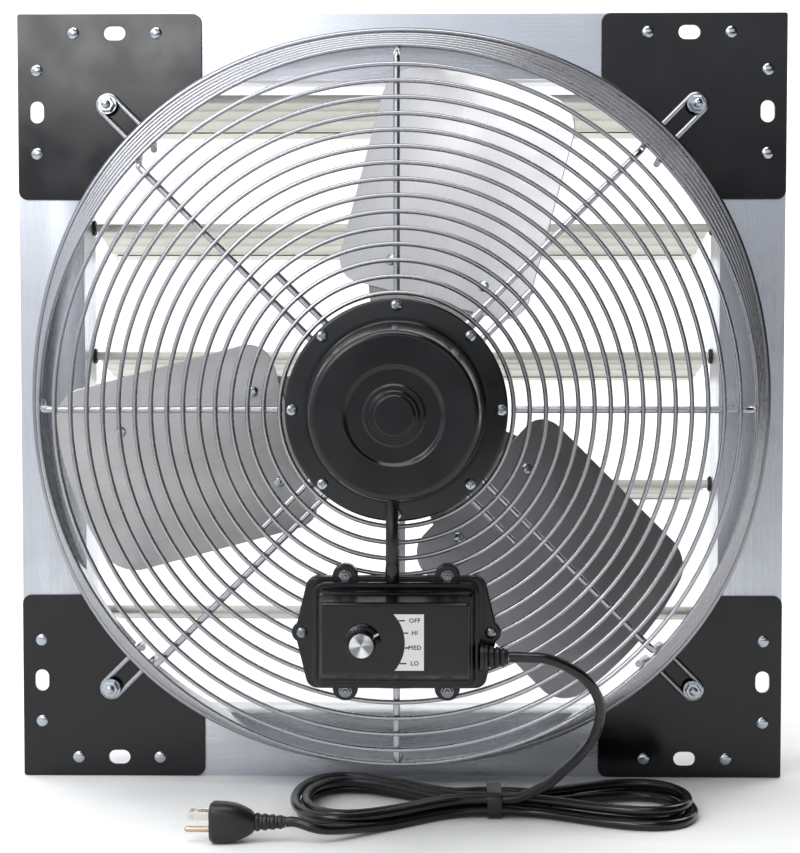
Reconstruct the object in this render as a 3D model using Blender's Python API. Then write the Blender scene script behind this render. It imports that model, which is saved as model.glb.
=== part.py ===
"""Wall shutter exhaust fan, built as an assembly.

Metres, +Z up. The room is towards -Y and the outdoors towards +Y. The origin is the centre of the
opening, on the plane where the frame's flange lies against the wall. A depth is a distance from that
plane into the room, so a point at depth d has y = -d.
"""

import math

import bmesh
import bpy
from mathutils import Matrix, Vector

# Clearances
GAP = 0.0003
RUNNING = 0.0005

# Square frame of four mitred angle extrusions
OPENING = 0.570
FLANGE_WIDTH = 0.058
FLANGE_T = 0.0025
SLEEVE_T = 0.0025
SLEEVE_DEPTH = 0.060

# Corner plates and their bolts
PLATE = 0.165
PLATE_T = 0.0025
PLATE_ROUND = 0.007
SLOT_LENGTH = 0.0194
SLOT_WIDTH = 0.0125
SLOT_IN = 0.017
SLOT_ALONG = 0.087
BOLT_OFF_RING = 0.0474
BOLT_R = 0.003
BOLT_HEAD_R = 0.0055
BOLT_HEAD_T = 0.004
NUT_T = 0.006
WASHER_R = 0.010
WASHER_T = 0.002
BOLT_PROUD = 0.012

# Sheet ring round the blades, with a rolled lip
RING_OFF_OPENING = 0.0381
RING_SWELL = 0.004
RING_SHEET = 0.0015
RING_FRONT = 0.046
LIP_R = 0.003
RING_SEGMENTS = 60

# Wire guard
FACE_DEPTH = 0.235
WIRE = 0.0037
GUARD_ROD = 0.0054
WELD = 0.0008
FACE_RINGS = 15
FACE_OFF_MOTOR = 0.0045
FACE_INSIDE_SIDE = 0.0197
SIDE_RINGS = 6
SIDE_FLARE = 0.0285
SIDE_BEHIND_FACE = 0.040
SIDE_INSIDE_RING = 0.0051
SIDE_OFF_RING = 0.014
ROD_BEND = 0.006
FACE_SEGMENTS = (24, 40)
SIDE_SEGMENTS = 32

# Bent rods that carry the motor
STRUT = 0.0055
STRUT_PAIR = 0.017
STRUT_STUB = 0.061
STRUT_BEND = 0.010
STRUT_OFF_RING = 0.0035
SCREW_IN = 0.0055

# Motor
MOTOR_FLANGE_R = 0.0875
MOTOR_FLANGE_T = 0.010
MOTOR_FLANGE_EDGE = 0.002
HOUSING_REAR_R = 0.069
HOUSING_FRONT_R = 0.063
HOUSING_LENGTH = 0.092
HOUSING_EDGE = 0.010
HOUSING_WALL = 0.005
HOUSING_END_T = 0.010
FACE_GROOVE_R = 0.035
FACE_GROOVE = 0.002
NOSE_R = 0.018
NOSE = 0.003
BEARING_R = 0.016
BEARING_T = 0.009
BEARING_SEAT_T = 0.005
SHAFT_R = 0.00635
STATOR_WALL = 0.022
STACK_FROM_FLANGE = 0.016
STACK_FROM_BEARING = 0.011

# Fan wheel
BLADES = 3
BLADE_ANGLE = 75.0
BLADE_DEPTH = 0.129
BLADE_OFF_RING = 0.0406
BLADE_ROOT_R = 0.090
BLADE_CHORD = 0.180
BLADE_PITCH = 25.0
BLADE_CAMBER = 0.006
BLADE_T = 0.0016
BLADE_CORNER = 0.022
ARM_T = 0.003
ARM_END_R = 0.140
ARM_END_WIDTH = 0.110
ARM_ROOT_WIDTH = 0.036
HUB_R = 0.022
HUB_LENGTH = 0.044

# Shutter
LOUVERS = 5
LOUVER_DROP = 0.012
LOUVER_LAST = 0.086
LOUVER_LAP = 0.003
LOUVER_T = 0.0018
LOUVER_RIB = 0.0012
LOUVER_BEAD_R = 0.004
LOUVER_PIN_R = 0.0024
LOUVER_OPEN = 78.0
PIVOT_IN = 0.010
BUSH_WALL = 0.0021
BUSH_BRIM = 0.0025
BUSH_HEAD_T = 0.0022
LUG_OUT = 0.026
LUG_UP = 0.006
LUG_WIDTH = 0.007
LUG_T = 0.0025
TIE_WIDTH = 0.006
TIE_PIN_R = 0.0012
TIE_END = 0.004

# Speed control box
BOX_Z = -0.174
BOX_PLATE_W = 0.148
BOX_PLATE_H = 0.088
BOX_PLATE_T = 0.012
BOX_EAR_X = 0.040
BOX_EAR_R = 0.010
BOX_SIDE_R = 0.008
BOX_CORNER_IN = 0.003
COVER_W = 0.130
COVER_H = 0.082
COVER_STEP = 0.0065
COVER_TOP_W = 0.110
COVER_TOP_H = 0.052
COVER_DEPTH = 0.051
COVER_SHOULDER = 0.01836
COVER_BROW = 0.03468
COVER_WALL = 0.003
COVER_ROUND = 0.009
KNOB_X = -0.025
KNOB_SKIRT_R = 0.0145
KNOB_R = 0.0105
KNOB_LENGTH = 0.016
KNOB_SKIRT_T = 0.0032
DIAL_OFF_KNOB = 0.047
DIAL_TOP = 0.022
DIAL_BOTTOM = -0.021
DIAL_ARC_R = 0.0325
DIAL_T = 0.0008
SWITCH_SIDE = 0.028
SWITCH_SHAFT_R = 0.003

# Leads
CORD_D = 0.0083
LEAD_D = 0.011
LEAD_X = -0.003
LEAD_BOW = 0.004
LEAD_IN = 0.0102
GRIP_DROP = 0.017
GRIP_IN = 0.01255
GRIP_LENGTH = 0.022
GRIP_R = 0.0105
GRIP_END_R = 0.0068
GRIP_RIBS = 4
DROP_ROUTE = (
    (0.122, -0.262, -0.1935),
    (0.148, -0.252, -0.210),
    (0.161, -0.236, -0.234),
    (0.158, -0.216, -0.262),
    (0.146, -0.197, -0.284),
)
HANK_END = (0.130, -0.182, -0.303)
HANK_LANDING = ((0.1165, -0.1715, -0.3150), (0.0995, -0.1625, -0.3248))

# Tied hank on the floor
HANK_X = 0.080
HANK_Y = -0.140
HANK_TURNS = 3
HANK_POINTS = 24
HANK_REACH = 0.169
HANK_LEFT = 0.083
HANK_RIGHT = 0.060
HANK_WAIST = 0.0168
HANK_STEP = 0.0093
HANK_SOFT = 0.2
HANK_FLAT = 0.14
HANK_SWELL = 2.8
BAND_WIDTH = 0.012
BAND_T = 0.0015

# Plug
PLUG_X = -0.148
PLUG_Y = -0.239
PLUG_HEIGHT = 0.032
PLUG_DEPTH = 0.026
PLUG_BODY = 0.036
PLUG_RELIEF = 0.024
PLUG_RIBS = 4
PRONG_LENGTH = 0.0175
PRONG_WIDTH = 0.00635
PRONG_T = 0.0015
PRONG_APART = 0.0127
PIN_DROP = 0.0119
PIN_R = 0.00238

# Places that follow from the sizes above
HALF_OPEN = OPENING / 2
HALF_PANEL = HALF_OPEN + FLANGE_WIDTH
FLOOR_Z = -HALF_PANEL
RING_R = HALF_OPEN + RING_OFF_OPENING
BOLT_CIRCLE = RING_R + BOLT_OFF_RING
BOLT_AT = BOLT_CIRCLE * math.sqrt(0.5)
PLATE_BACK = FLANGE_T + GAP
SIDE_BACK_R = RING_R - SIDE_INSIDE_RING
SIDE_FRONT_R = SIDE_BACK_R - SIDE_FLARE
SIDE_BACK = RING_FRONT + SIDE_OFF_RING
SIDE_FRONT = FACE_DEPTH - SIDE_BEHIND_FACE
FACE_FIRST_R = MOTOR_FLANGE_R + FACE_OFF_MOTOR
FACE_LAST_R = SIDE_FRONT_R - FACE_INSIDE_SIDE
SCREW_CIRCLE = MOTOR_FLANGE_R - SCREW_IN
FOOT_DEPTH = PLATE_BACK + PLATE_T + GAP + STRUT / 2
STRUT_DEPTH = FACE_DEPTH - WIRE / 2 - GAP - STRUT / 2
MOTOR_SEAT = STRUT_DEPTH + STRUT / 2 + GAP
MOTOR_FACE = MOTOR_SEAT + MOTOR_FLANGE_T + GAP
HOUSING_END = MOTOR_FACE + HOUSING_LENGTH
HOUSING_BORE_R = HOUSING_FRONT_R - HOUSING_WALL
STATOR_R = HOUSING_BORE_R - GAP
ROTOR_R = STATOR_R - STATOR_WALL - RUNNING
STACK_BACK = MOTOR_FACE + STACK_FROM_FLANGE
REAR_BEARING = MOTOR_SEAT + (MOTOR_FLANGE_T - BEARING_T) / 2
FRONT_BEARING = HOUSING_END - HOUSING_END_T - BEARING_T - GAP
STACK_FRONT = FRONT_BEARING - STACK_FROM_BEARING
HUB_BACK = BLADE_DEPTH - HUB_LENGTH / 2
BLADE_TIP_R = RING_R - BLADE_OFF_RING
PIVOT_Y = SLEEVE_DEPTH - PIVOT_IN
SILL_DEPTH = PIVOT_Y - LOUVER_BEAD_R
LOUVER_TOP = HALF_OPEN - LOUVER_DROP
LOUVER_PITCH = (OPENING - LOUVER_DROP - LOUVER_LAST) / (LOUVERS - 1)
LOUVER_CHORD = LOUVER_PITCH + LOUVER_LAP
BUSH_R = LOUVER_PIN_R + BUSH_WALL
BUSH_HEAD_R = BUSH_R + BUSH_BRIM
BOX_BACK = FACE_DEPTH + WIRE / 2 + GAP
COVER_BACK = BOX_BACK + BOX_PLATE_T + GAP
COVER_FRONT = COVER_BACK + COVER_DEPTH
GRIP_START = COVER_W / 2 + GAP
GRIP_Z = BOX_Z - GRIP_DROP
GRIP_DEPTH = COVER_BACK + GRIP_IN
CORD_START = GRIP_START + GRIP_LENGTH + GAP
HANK_LAYER = HANK_STEP
HANK_FLOOR = FLOOR_Z + CORD_D / 2
BAND_LIFT = BAND_T + GAP
PLUG_Z = FLOOR_Z + PLUG_HEIGHT / 2
PLUG_END = PLUG_X + PLUG_BODY + PLUG_RELIEF


def clear_scene():
    for obj in list(bpy.data.objects):
        bpy.data.objects.remove(obj, do_unlink=True)


def paint(name, colour, roughness, metallic):
    """A plain surface: colour is linear red, green and blue."""
    material = bpy.data.materials.new(name)
    material.use_nodes = True
    surface = material.node_tree.nodes["Principled BSDF"]
    surface.inputs["Base Color"].default_value = (*colour, 1.0)
    surface.inputs["Roughness"].default_value = roughness
    surface.inputs["Metallic"].default_value = metallic
    return material


def place(name, data, material, parent=None, at=(0, 0, 0), turn=(0, 0, 0)):
    """Add a named piece to the scene. Turn is given in degrees about X, Y and Z."""
    obj = bpy.data.objects.new(name, data)
    bpy.context.scene.collection.objects.link(obj)
    obj.parent = parent
    obj.location = at
    obj.rotation_euler = [math.radians(angle) for angle in turn]
    data.materials.clear()
    data.materials.append(material)
    return obj


def axis_empty(name, at=(0, 0, 0)):
    empty = bpy.data.objects.new(name, None)
    bpy.context.scene.collection.objects.link(empty)
    empty.location = at
    return empty


def finished(bm, smooth=True):
    """The mesh of a closed shape, with its faces turned outwards."""
    bmesh.ops.remove_doubles(bm, verts=bm.verts, dist=1e-7)
    bmesh.ops.recalc_face_normals(bm, faces=bm.faces)
    mesh = bpy.data.meshes.new("shape")
    bm.to_mesh(mesh)
    bm.free()
    if smooth:
        mesh.shade_smooth()
        mesh.set_sharp_from_angle(angle=math.radians(35))
    return mesh


def loft(loops, closed=False):
    """Join equal loops of points by quads, with a cap at each end unless they close on themselves."""
    bm = bmesh.new()
    rings = [[bm.verts.new(point) for point in loop] for loop in loops]
    pairs = list(zip(rings, rings[1:]))
    if closed:
        pairs.append((rings[-1], rings[0]))
    else:
        bm.faces.new(rings[0])
        bm.faces.new(reversed(rings[-1]))
    for low, high in pairs:
        for k in range(len(low)):
            after = (k + 1) % len(low)
            bm.faces.new((low[k], high[k], high[after], low[after]))
    return finished(bm)


def prism(outline, back, front):
    """An outline of (x, z) points between two depths."""
    return loft([[(x, -depth, z) for x, z in outline] for depth in (back, front)])


def side_prism(outline, left, right):
    """An outline of (y, z) points between two places along X."""
    return loft([[(x, y, z) for y, z in outline] for x in (left, right)])


def revolve(profiles, segments, closed=False):
    """Spin profiles of (radius, depth) points round Y, with a flat and not a corner at each side."""
    bm = bmesh.new()
    start = Matrix.Rotation(math.pi / segments, 3, "Y")
    for profile in profiles:
        verts = [bm.verts.new(start @ Vector((radius, -depth, 0))) for radius, depth in profile]
        edges = [bm.edges.new(pair) for pair in zip(verts, verts[1:])]
        if closed:
            edges.append(bm.edges.new((verts[-1], verts[0])))
        bmesh.ops.spin(bm, geom=verts + edges, axis=(0, 1, 0), cent=(0, 0, 0),
                       angle=math.tau, steps=segments, use_merge=True)
    return finished(bm)


def rod(start, end, radius, sides):
    """A straight round bar between two points."""
    start = Vector(start)
    along = Vector(end) - start
    frame = Matrix.Translation(start + along / 2) @ along.to_track_quat("Z", "X").to_matrix().to_4x4()
    bm = bmesh.new()
    bmesh.ops.create_cone(bm, cap_ends=True, segments=sides, radius1=radius, radius2=radius,
                          depth=along.length, matrix=frame)
    return finished(bm)


def clear_of(radius, sides):
    """Radius of a hole's corners, so that its flats clear a round piece of the given radius."""
    return radius / math.cos(math.pi / sides)


def tube(name, points, diameter, resolution):
    """A round wire or cord along points, as a curve with filled ends."""
    curve = bpy.data.curves.new(name, "CURVE")
    curve.dimensions = "3D"
    curve.bevel_depth = diameter / 2
    curve.bevel_resolution = resolution
    curve.use_fill_caps = True
    spline = curve.splines.new("POLY")
    spline.points.add(len(points) - 1)
    for point, co in zip(spline.points, points):
        point.co = (*co, 1)
    spline.use_smooth = True
    return curve


def mesh_of(data):
    """The mesh of a curve."""
    obj = bpy.data.objects.new("shape", data)
    mesh = bpy.data.meshes.new_from_object(obj)
    bpy.data.objects.remove(obj)
    bm = bmesh.new()
    bm.from_mesh(mesh)
    return finished(bm)


def combined(base, others, operation):
    """The base mesh joined with, or cut by, the other meshes."""
    target = bpy.data.objects.new("target", base)
    tools = [bpy.data.objects.new("tool", mesh) for mesh in others]
    for obj in [target, *tools]:
        bpy.context.scene.collection.objects.link(obj)
    for tool in tools:
        shape = target.modifiers.new("shape", "BOOLEAN")
        shape.object = tool
        shape.operation = operation
    graph = bpy.context.evaluated_depsgraph_get()
    mesh = bpy.data.meshes.new_from_object(target.evaluated_get(graph))
    for obj in [target, *tools]:
        bpy.data.objects.remove(obj, do_unlink=True)
    return mesh


def arc(centre, radius, start, end, steps):
    """Points of a circular arc between two angles in degrees."""
    angles = [math.radians(start + (end - start) * k / steps) for k in range(steps + 1)]
    return [(centre[0] + radius * math.cos(a), centre[1] + radius * math.sin(a)) for a in angles]


def rounded_rectangle(width, height, radius, steps=3, centre=(0, 0)):
    outline = []
    for k, (right, up) in enumerate(((1, 1), (-1, 1), (-1, -1), (1, -1))):
        corner = (centre[0] + right * (width / 2 - radius), centre[1] + up * (height / 2 - radius))
        outline += arc(corner, radius, 90 * k, 90 * k + 90, steps)
    return outline


def slot(centre, along_x):
    """A slot's outline, with round ends."""
    size = (SLOT_LENGTH, SLOT_WIDTH) if along_x else (SLOT_WIDTH, SLOT_LENGTH)
    return rounded_rectangle(*size, SLOT_WIDTH / 2 - 1e-5, 2, centre)


def filleted(corners, radius, steps=4):
    """A bent line through corners, with an arc at each inner one."""
    path = [corners[0]]
    for before, corner, after in zip(corners, corners[1:], corners[2:]):
        back = (before - corner).normalized()
        on = (after - corner).normalized()
        half = back.angle(on) / 2
        centre = corner + (back + on).normalized() * radius / math.sin(half)
        first = corner + back * radius / math.tan(half) - centre
        last = corner + on * radius / math.tan(half) - centre
        path += [centre + radius * first.slerp(last, k / steps) for k in range(steps + 1)]
    return path + [corners[-1]]


def smooth_curve(points, spacing):
    """Points at an even spacing along a smooth curve through the given ones."""
    points = [Vector(point) for point in points]
    ends = [2 * points[0] - points[1], *points, 2 * points[-1] - points[-2]]
    fine = []
    for a, b, c, d in zip(ends, ends[1:], ends[2:], ends[3:]):
        for k in range(40):
            t = k / 40
            fine.append(0.5 * (2 * b + (c - a) * t + (2 * a - 5 * b + 4 * c - d) * t * t
                               + (3 * b - a - 3 * c + d) * t ** 3))
    fine.append(points[-1])
    lengths = [0.0]
    for before, after in zip(fine, fine[1:]):
        lengths.append(lengths[-1] + (after - before).length)
    count = max(2, round(lengths[-1] / spacing))
    path = []
    k = 0
    for step in range(count + 1):
        wanted = lengths[-1] * step / count
        while k < len(fine) - 2 and lengths[k + 1] < wanted:
            k += 1
        share = (wanted - lengths[k]) / (lengths[k + 1] - lengths[k])
        path.append(fine[k].lerp(fine[k + 1], share))
    return path


def louver_heights():
    return [LOUVER_TOP - LOUVER_PITCH * k for k in range(LOUVERS)]


def build_frame():
    """Four angle extrusions: a flange on the wall and a sleeve through it, mitred at the corners."""
    aluminium = paint("mill aluminium", (0.60, 0.61, 0.64), 0.38, 1.0)
    across = HALF_PANEL - SLOT_ALONG
    slots = [prism(slot((x, HALF_PANEL - SLOT_IN), True), -FLANGE_T, 2 * FLANGE_T)
             for x in (-across, across)]
    for k, name in enumerate(("top", "right", "bottom", "left")):
        sleeve = SILL_DEPTH if name == "bottom" else SLEEVE_DEPTH
        profile = [(HALF_OPEN, -sleeve), (HALF_OPEN, FLANGE_T), (HALF_PANEL, FLANGE_T),
                   (HALF_PANEL, 0), (HALF_OPEN + SLEEVE_T, 0), (HALF_OPEN + SLEEVE_T, -sleeve)]
        loops = [[(side * (r - 0.75 * GAP), -depth, r) for r, depth in profile] for side in (-1, 1)]
        cuts = list(slots)
        if name in ("right", "left"):
            side = -1 if name == "right" else 1
            for z in louver_heights():
                low = (side * z, PIVOT_Y, HALF_OPEN - SLEEVE_T)
                high = (side * z, PIVOT_Y, HALF_OPEN + 2 * SLEEVE_T)
                cuts.append(rod(low, high, clear_of(BUSH_R + GAP, 8), 8))
        mesh = combined(loft(loops), cuts, "DIFFERENCE")
        place(f"frame_{name}", mesh, aluminium, turn=(0, 90 * k, 0))


def swollen(mesh):
    """Move a round shape's points out towards the panel's corners and in towards its sides."""
    for vert in mesh.vertices:
        angle = math.atan2(vert.co.z, vert.co.x)
        vert.co -= RING_SWELL * math.cos(4 * angle) * Vector((math.cos(angle), 0, math.sin(angle)))
    return mesh


def build_corners():
    """Corner plates that tie the mitres, each with two slots and the bolt that holds a strut."""
    black = paint("gloss black plate", (0.022, 0.021, 0.023), 0.22, 0.0)
    zinc = paint("zinc bolt", (0.46, 0.52, 0.55), 0.30, 1.0)
    inner = HALF_PANEL - PLATE
    near, far = inner + PLATE_ROUND, HALF_PANEL - PLATE_ROUND
    outline = [(HALF_PANEL, HALF_PANEL), *arc((near, far), PLATE_ROUND, 90, 180, 3),
               *arc((near, near), PLATE_ROUND, 180, 270, 3), *arc((far, near), PLATE_ROUND, 270, 360, 3)]
    along, edge = HALF_PANEL - SLOT_ALONG, HALF_PANEL - SLOT_IN
    front = PLATE_BACK + PLATE_T
    cuts = [prism(slot((along, edge), True), 0, 2 * front),
            prism(slot((edge, along), False), 0, 2 * front),
            rod((BOLT_AT, 0, BOLT_AT), (BOLT_AT, -2 * front, BOLT_AT), clear_of(BOLT_R + GAP, 8), 8),
            swollen(rod((0, 0, 0), (0, -2 * front, 0), clear_of(RING_R + RING_SHEET + 2 * RUNNING, 90), 90))]
    plate = combined(prism(outline, PLATE_BACK, front), cuts, "DIFFERENCE")
    head = PLATE_BACK - GAP
    washer = FOOT_DEPTH + STRUT / 2 + GAP
    nut = washer + WASHER_T
    profile = [(0, head - BOLT_HEAD_T), (BOLT_HEAD_R, head - BOLT_HEAD_T), (BOLT_HEAD_R, head),
               (BOLT_R, head), (BOLT_R, washer), (WASHER_R, washer), (WASHER_R, nut),
               (2 * BOLT_R, nut), (2 * BOLT_R, nut + NUT_T), (BOLT_R, nut + NUT_T),
               (BOLT_R, washer + BOLT_PROUD), (0, washer + BOLT_PROUD)]
    bolt = revolve([profile], 6)
    bolt.transform(Matrix.Translation((BOLT_AT, 0, BOLT_AT)))
    for k, corner in enumerate(("tr", "br", "bl", "tl")):
        place(f"corner_plate_{corner}", plate, black, turn=(0, 90 * k, 0))
        place(f"corner_bolt_{corner}", bolt, zinc, turn=(0, 90 * k, 0))


def build_ring():
    """Sheet ring round the blades: a rolled lip in front, and notches where the struts pass."""
    sheet = paint("spun aluminium", (0.50, 0.50, 0.50), 0.30, 1.0)
    base = FLANGE_T + GAP
    lip = arc((RING_R + LIP_R, RING_FRONT - LIP_R), LIP_R, 180, -60, 6)
    profile = [(RING_R, base), *lip, (RING_R + RING_SHEET, RING_FRONT - 2.5 * LIP_R),
               (RING_R + RING_SHEET, base)]
    ring = swollen(revolve([profile], RING_SEGMENTS, closed=True))
    width = STRUT_PAIR + STRUT + 6 * RUNNING
    top = FOOT_DEPTH + STRUT + STRUT_BEND
    notches = []
    for k in range(4):
        notch = prism(rounded_rectangle(RING_R / 4, width, 2 * RUNNING, 1, (RING_R, 0)), 0, top)
        notch.transform(Matrix.Rotation(math.radians(45 + 90 * k), 4, "Y"))
        notches.append(notch)
    place("venturi_ring", combined(ring, notches, "DIFFERENCE"), sheet)


def side_radius(depth):
    """Radius of the guard's side, which widens towards the wall."""
    return SIDE_FRONT_R + (SIDE_FRONT - depth) * side_slope()


def side_slope():
    return (SIDE_BACK_R - SIDE_FRONT_R) / (SIDE_FRONT - SIDE_BACK)


def inside_side(depth, inset):
    """Radius of a line that runs at a distance inside the guard's side."""
    return side_radius(depth) - inset * math.hypot(1, side_slope())


def wire_section(radius, depth, segments):
    """Four corners of a ring's wire. Its flats, not its corners, lie at the stated radius."""
    radius = clear_of(radius, segments)
    half = WIRE / 2
    return [(radius + half, depth), (radius, depth - half), (radius - half, depth), (radius, depth + half)]


def build_guard():
    """Wire rings welded to four rods: a flat face, and a side that widens towards the wall."""
    wire = paint("grey wire", (0.27, 0.27, 0.29), 0.42, 0.9)
    pitch = (FACE_LAST_R - FACE_FIRST_R) / (FACE_RINGS - 1)
    radii = [FACE_FIRST_R + pitch * k for k in range(FACE_RINGS)]
    fewest, most = FACE_SEGMENTS
    sizes = [8 * round((fewest + (most - fewest) * k / (FACE_RINGS - 1)) / 8) for k in range(FACE_RINGS)]
    rods_depth = FACE_DEPTH - WIRE / 2 - GUARD_ROD / 2 + WELD
    face_end = radii[-1] + WIRE / 2
    bm = bmesh.new()
    for radius, segments in zip(radii, sizes):
        bm.from_mesh(revolve([wire_section(radius, FACE_DEPTH, segments)], segments, closed=True))
    face_rods = bmesh.new()
    side_rods = bmesh.new()
    inset = WIRE / 2 + GUARD_ROD / 2 - WELD
    side_end = SIDE_BACK - GUARD_ROD
    corners = [Vector((face_end + GAP, -rods_depth, 0)),
               Vector((inside_side(rods_depth, inset), -rods_depth, 0)),
               Vector((inside_side(side_end, inset), -side_end, 0))]
    bend = mesh_of(tube("rod", filleted(corners, ROD_BEND, 3), GUARD_ROD, 1))
    face_start = radii[0] - WIRE / 2
    straight = rod((face_start, -rods_depth, 0), (face_end, -rods_depth, 0), GUARD_ROD / 2, 6)
    for k in range(4):
        turn = Matrix.Rotation(math.pi / 2 * k, 4, "Y")
        for rods, shape in ((face_rods, straight), (side_rods, bend)):
            turned = shape.copy()
            turned.transform(turn)
            rods.from_mesh(turned)
    face = combined(finished(bm), [finished(face_rods)], "UNION")
    place("guard_face", face, wire)
    sides = bmesh.new()
    for k in range(SIDE_RINGS):
        depth = SIDE_FRONT + (SIDE_BACK - SIDE_FRONT) * k / (SIDE_RINGS - 1)
        section = wire_section(side_radius(depth), depth, SIDE_SEGMENTS)
        sides.from_mesh(revolve([section], SIDE_SEGMENTS, closed=True))
    place("guard_side", combined(finished(sides), [finished(side_rods)], "UNION"), wire)


def strut_path():
    """One bent rod: hooked round a motor screw, out and back along the guard, and round a corner bolt."""
    half = STRUT_PAIR / 2
    front = inside_side(SIDE_FRONT, WIRE / 2 + GAP + STRUT / 2)
    foot = RING_R + RING_SWELL - STRUT_OFF_RING - STRUT / 2
    slope = (foot - front) / (SIDE_FRONT - FOOT_DEPTH)

    def corner(depth, across):
        return Vector((front + (SIDE_FRONT - depth) * slope, -depth, across))

    inner = [Vector((u, -STRUT_DEPTH, v)) for u, v in arc((SCREW_CIRCLE, 0), half, -90, -270, 6)]
    outer = [Vector((u, -FOOT_DEPTH, v)) for u, v in arc((BOLT_CIRCLE, 0), half, 90, -90, 6)]
    long_leg = [inner[-1], corner(STRUT_DEPTH, half), corner(FOOT_DEPTH, half), outer[0]]
    short_leg = [outer[-1], corner(FOOT_DEPTH, -half), corner(SIDE_FRONT + STRUT, -half)]
    path = [Vector((SCREW_CIRCLE + STRUT_STUB, -STRUT_DEPTH, -half)), *inner]
    path += filleted(long_leg, STRUT_BEND)[1:-1] + outer + filleted(short_leg, STRUT_BEND)[1:]
    return path


def build_struts():
    steel = paint("bright steel rod", (0.42, 0.43, 0.45), 0.34, 1.0)
    for k, corner in enumerate(("tr", "tl", "bl", "br")):
        curve = tube(f"strut_{corner}", strut_path(), STRUT, 1)
        place(f"strut_{corner}", curve, steel, turn=(0, -45 - 90 * k, 0))


def build_motor(axis):
    """Motor on the struts: flange and tapered housing outside, stator, rotor, shaft and bearings inside."""
    black = paint("satin black cast", (0.024, 0.024, 0.025), 0.36, 0.2)
    steel = paint("ground steel", (0.52, 0.52, 0.53), 0.28, 1.0)
    core = paint("lamination steel", (0.20, 0.19, 0.18), 0.50, 0.9)
    pocket = BEARING_R + GAP
    front = MOTOR_SEAT + MOTOR_FLANGE_T
    edge = MOTOR_FLANGE_EDGE
    flange = [(pocket, MOTOR_SEAT), (pocket, front), (MOTOR_FLANGE_R - edge, front),
              (MOTOR_FLANGE_R, front - edge), (MOTOR_FLANGE_R, MOTOR_SEAT)]
    place("motor_flange", revolve([flange], 24, closed=True), black)
    inside = HOUSING_END - HOUSING_END_T
    seat = inside - BEARING_SEAT_T
    rounded = (HOUSING_FRONT_R - HOUSING_EDGE, HOUSING_END - HOUSING_EDGE)
    groove = HOUSING_END - FACE_GROOVE
    housing = [(0, inside), (pocket, inside), (pocket, seat), (pocket + BEARING_SEAT_T, seat),
               (pocket + BEARING_SEAT_T, inside - GAP), (HOUSING_BORE_R, inside - GAP),
               (HOUSING_BORE_R, MOTOR_FACE), (HOUSING_REAR_R, MOTOR_FACE),
               *arc(rounded, HOUSING_EDGE, 0, 90, 4),
               (FACE_GROOVE_R + FACE_GROOVE, HOUSING_END), (FACE_GROOVE_R, groove),
               (NOSE_R + NOSE, groove), (NOSE_R, groove + NOSE), (0, groove + NOSE)]
    place("motor_housing", revolve([housing], 24), black)
    stator = [(STATOR_R - STATOR_WALL, STACK_BACK), (STATOR_R - STATOR_WALL, STACK_FRONT),
              (STATOR_R, STACK_FRONT), (STATOR_R, STACK_BACK)]
    place("motor_stator", revolve([stator], 24, closed=True), core)
    bore = SHAFT_R + GAP
    rotor = [(bore, STACK_BACK), (bore, STACK_FRONT), (ROTOR_R, STACK_FRONT), (ROTOR_R, STACK_BACK)]
    place("motor_rotor", revolve([rotor], 16, closed=True), core, axis)
    tip = FRONT_BEARING + BEARING_T
    shaft = [(0, HUB_BACK), (SHAFT_R, HUB_BACK), (SHAFT_R, tip), (0, tip)]
    place("motor_shaft", revolve([shaft], 16), steel, axis)
    for name, back in (("bearing_rear", REAR_BEARING), ("bearing_front", FRONT_BEARING)):
        ring = [(SHAFT_R + RUNNING, back), (SHAFT_R + RUNNING, back + BEARING_T),
                (BEARING_R, back + BEARING_T), (BEARING_R, back)]
        place(name, revolve([ring], 16, closed=True), steel)


def blade_point(out, across, lift):
    """A point of a blade that points along +X: across runs clockwise, towards the room."""
    pitch = math.radians(BLADE_PITCH)
    bulge = BLADE_CAMBER * (1 - (2 * across / BLADE_CHORD) ** 2) + lift
    depth = BLADE_DEPTH + across * math.sin(pitch) + bulge * math.cos(pitch)
    return (out, -depth, -across * math.cos(pitch) + bulge * math.sin(pitch))


def corner_drop(across):
    """How far a blade's rounded corner draws in its end at a place across the chord."""
    past = abs(across) - (BLADE_CHORD / 2 - BLADE_CORNER)
    return BLADE_CORNER - math.sqrt(BLADE_CORNER ** 2 - max(past, 0) ** 2)


def curved_plate(outs, acrosses, lift, thickness):
    """A plate on the blade's cambered surface. Outs gives the two ends of each strip across it."""
    steps = 6
    bm = bmesh.new()
    faces = []
    grids = []
    for level in (lift, lift + thickness):
        grid = [[bm.verts.new(blade_point(low + (high - low) * k / steps, across, level))
                 for k in range(steps + 1)] for across, (low, high) in zip(acrosses, outs)]
        grids.append(grid)
        for row, following in zip(grid, grid[1:]):
            for k in range(steps):
                faces.append((row[k], following[k], following[k + 1], row[k + 1]))
    rims = []
    for grid in grids:
        ends = [row[-1] for row in grid[1:]]
        starts = [row[0] for row in grid[1:-1]]
        rims.append(grid[0] + ends + list(reversed(grid[-1][:-1])) + list(reversed(starts)))
    for k in range(len(rims[0])):
        after = (k + 1) % len(rims[0])
        faces.append((rims[0][k], rims[0][after], rims[1][after], rims[1][k]))
    for face in faces:
        bm.faces.new(face)
    return finished(bm)


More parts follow.
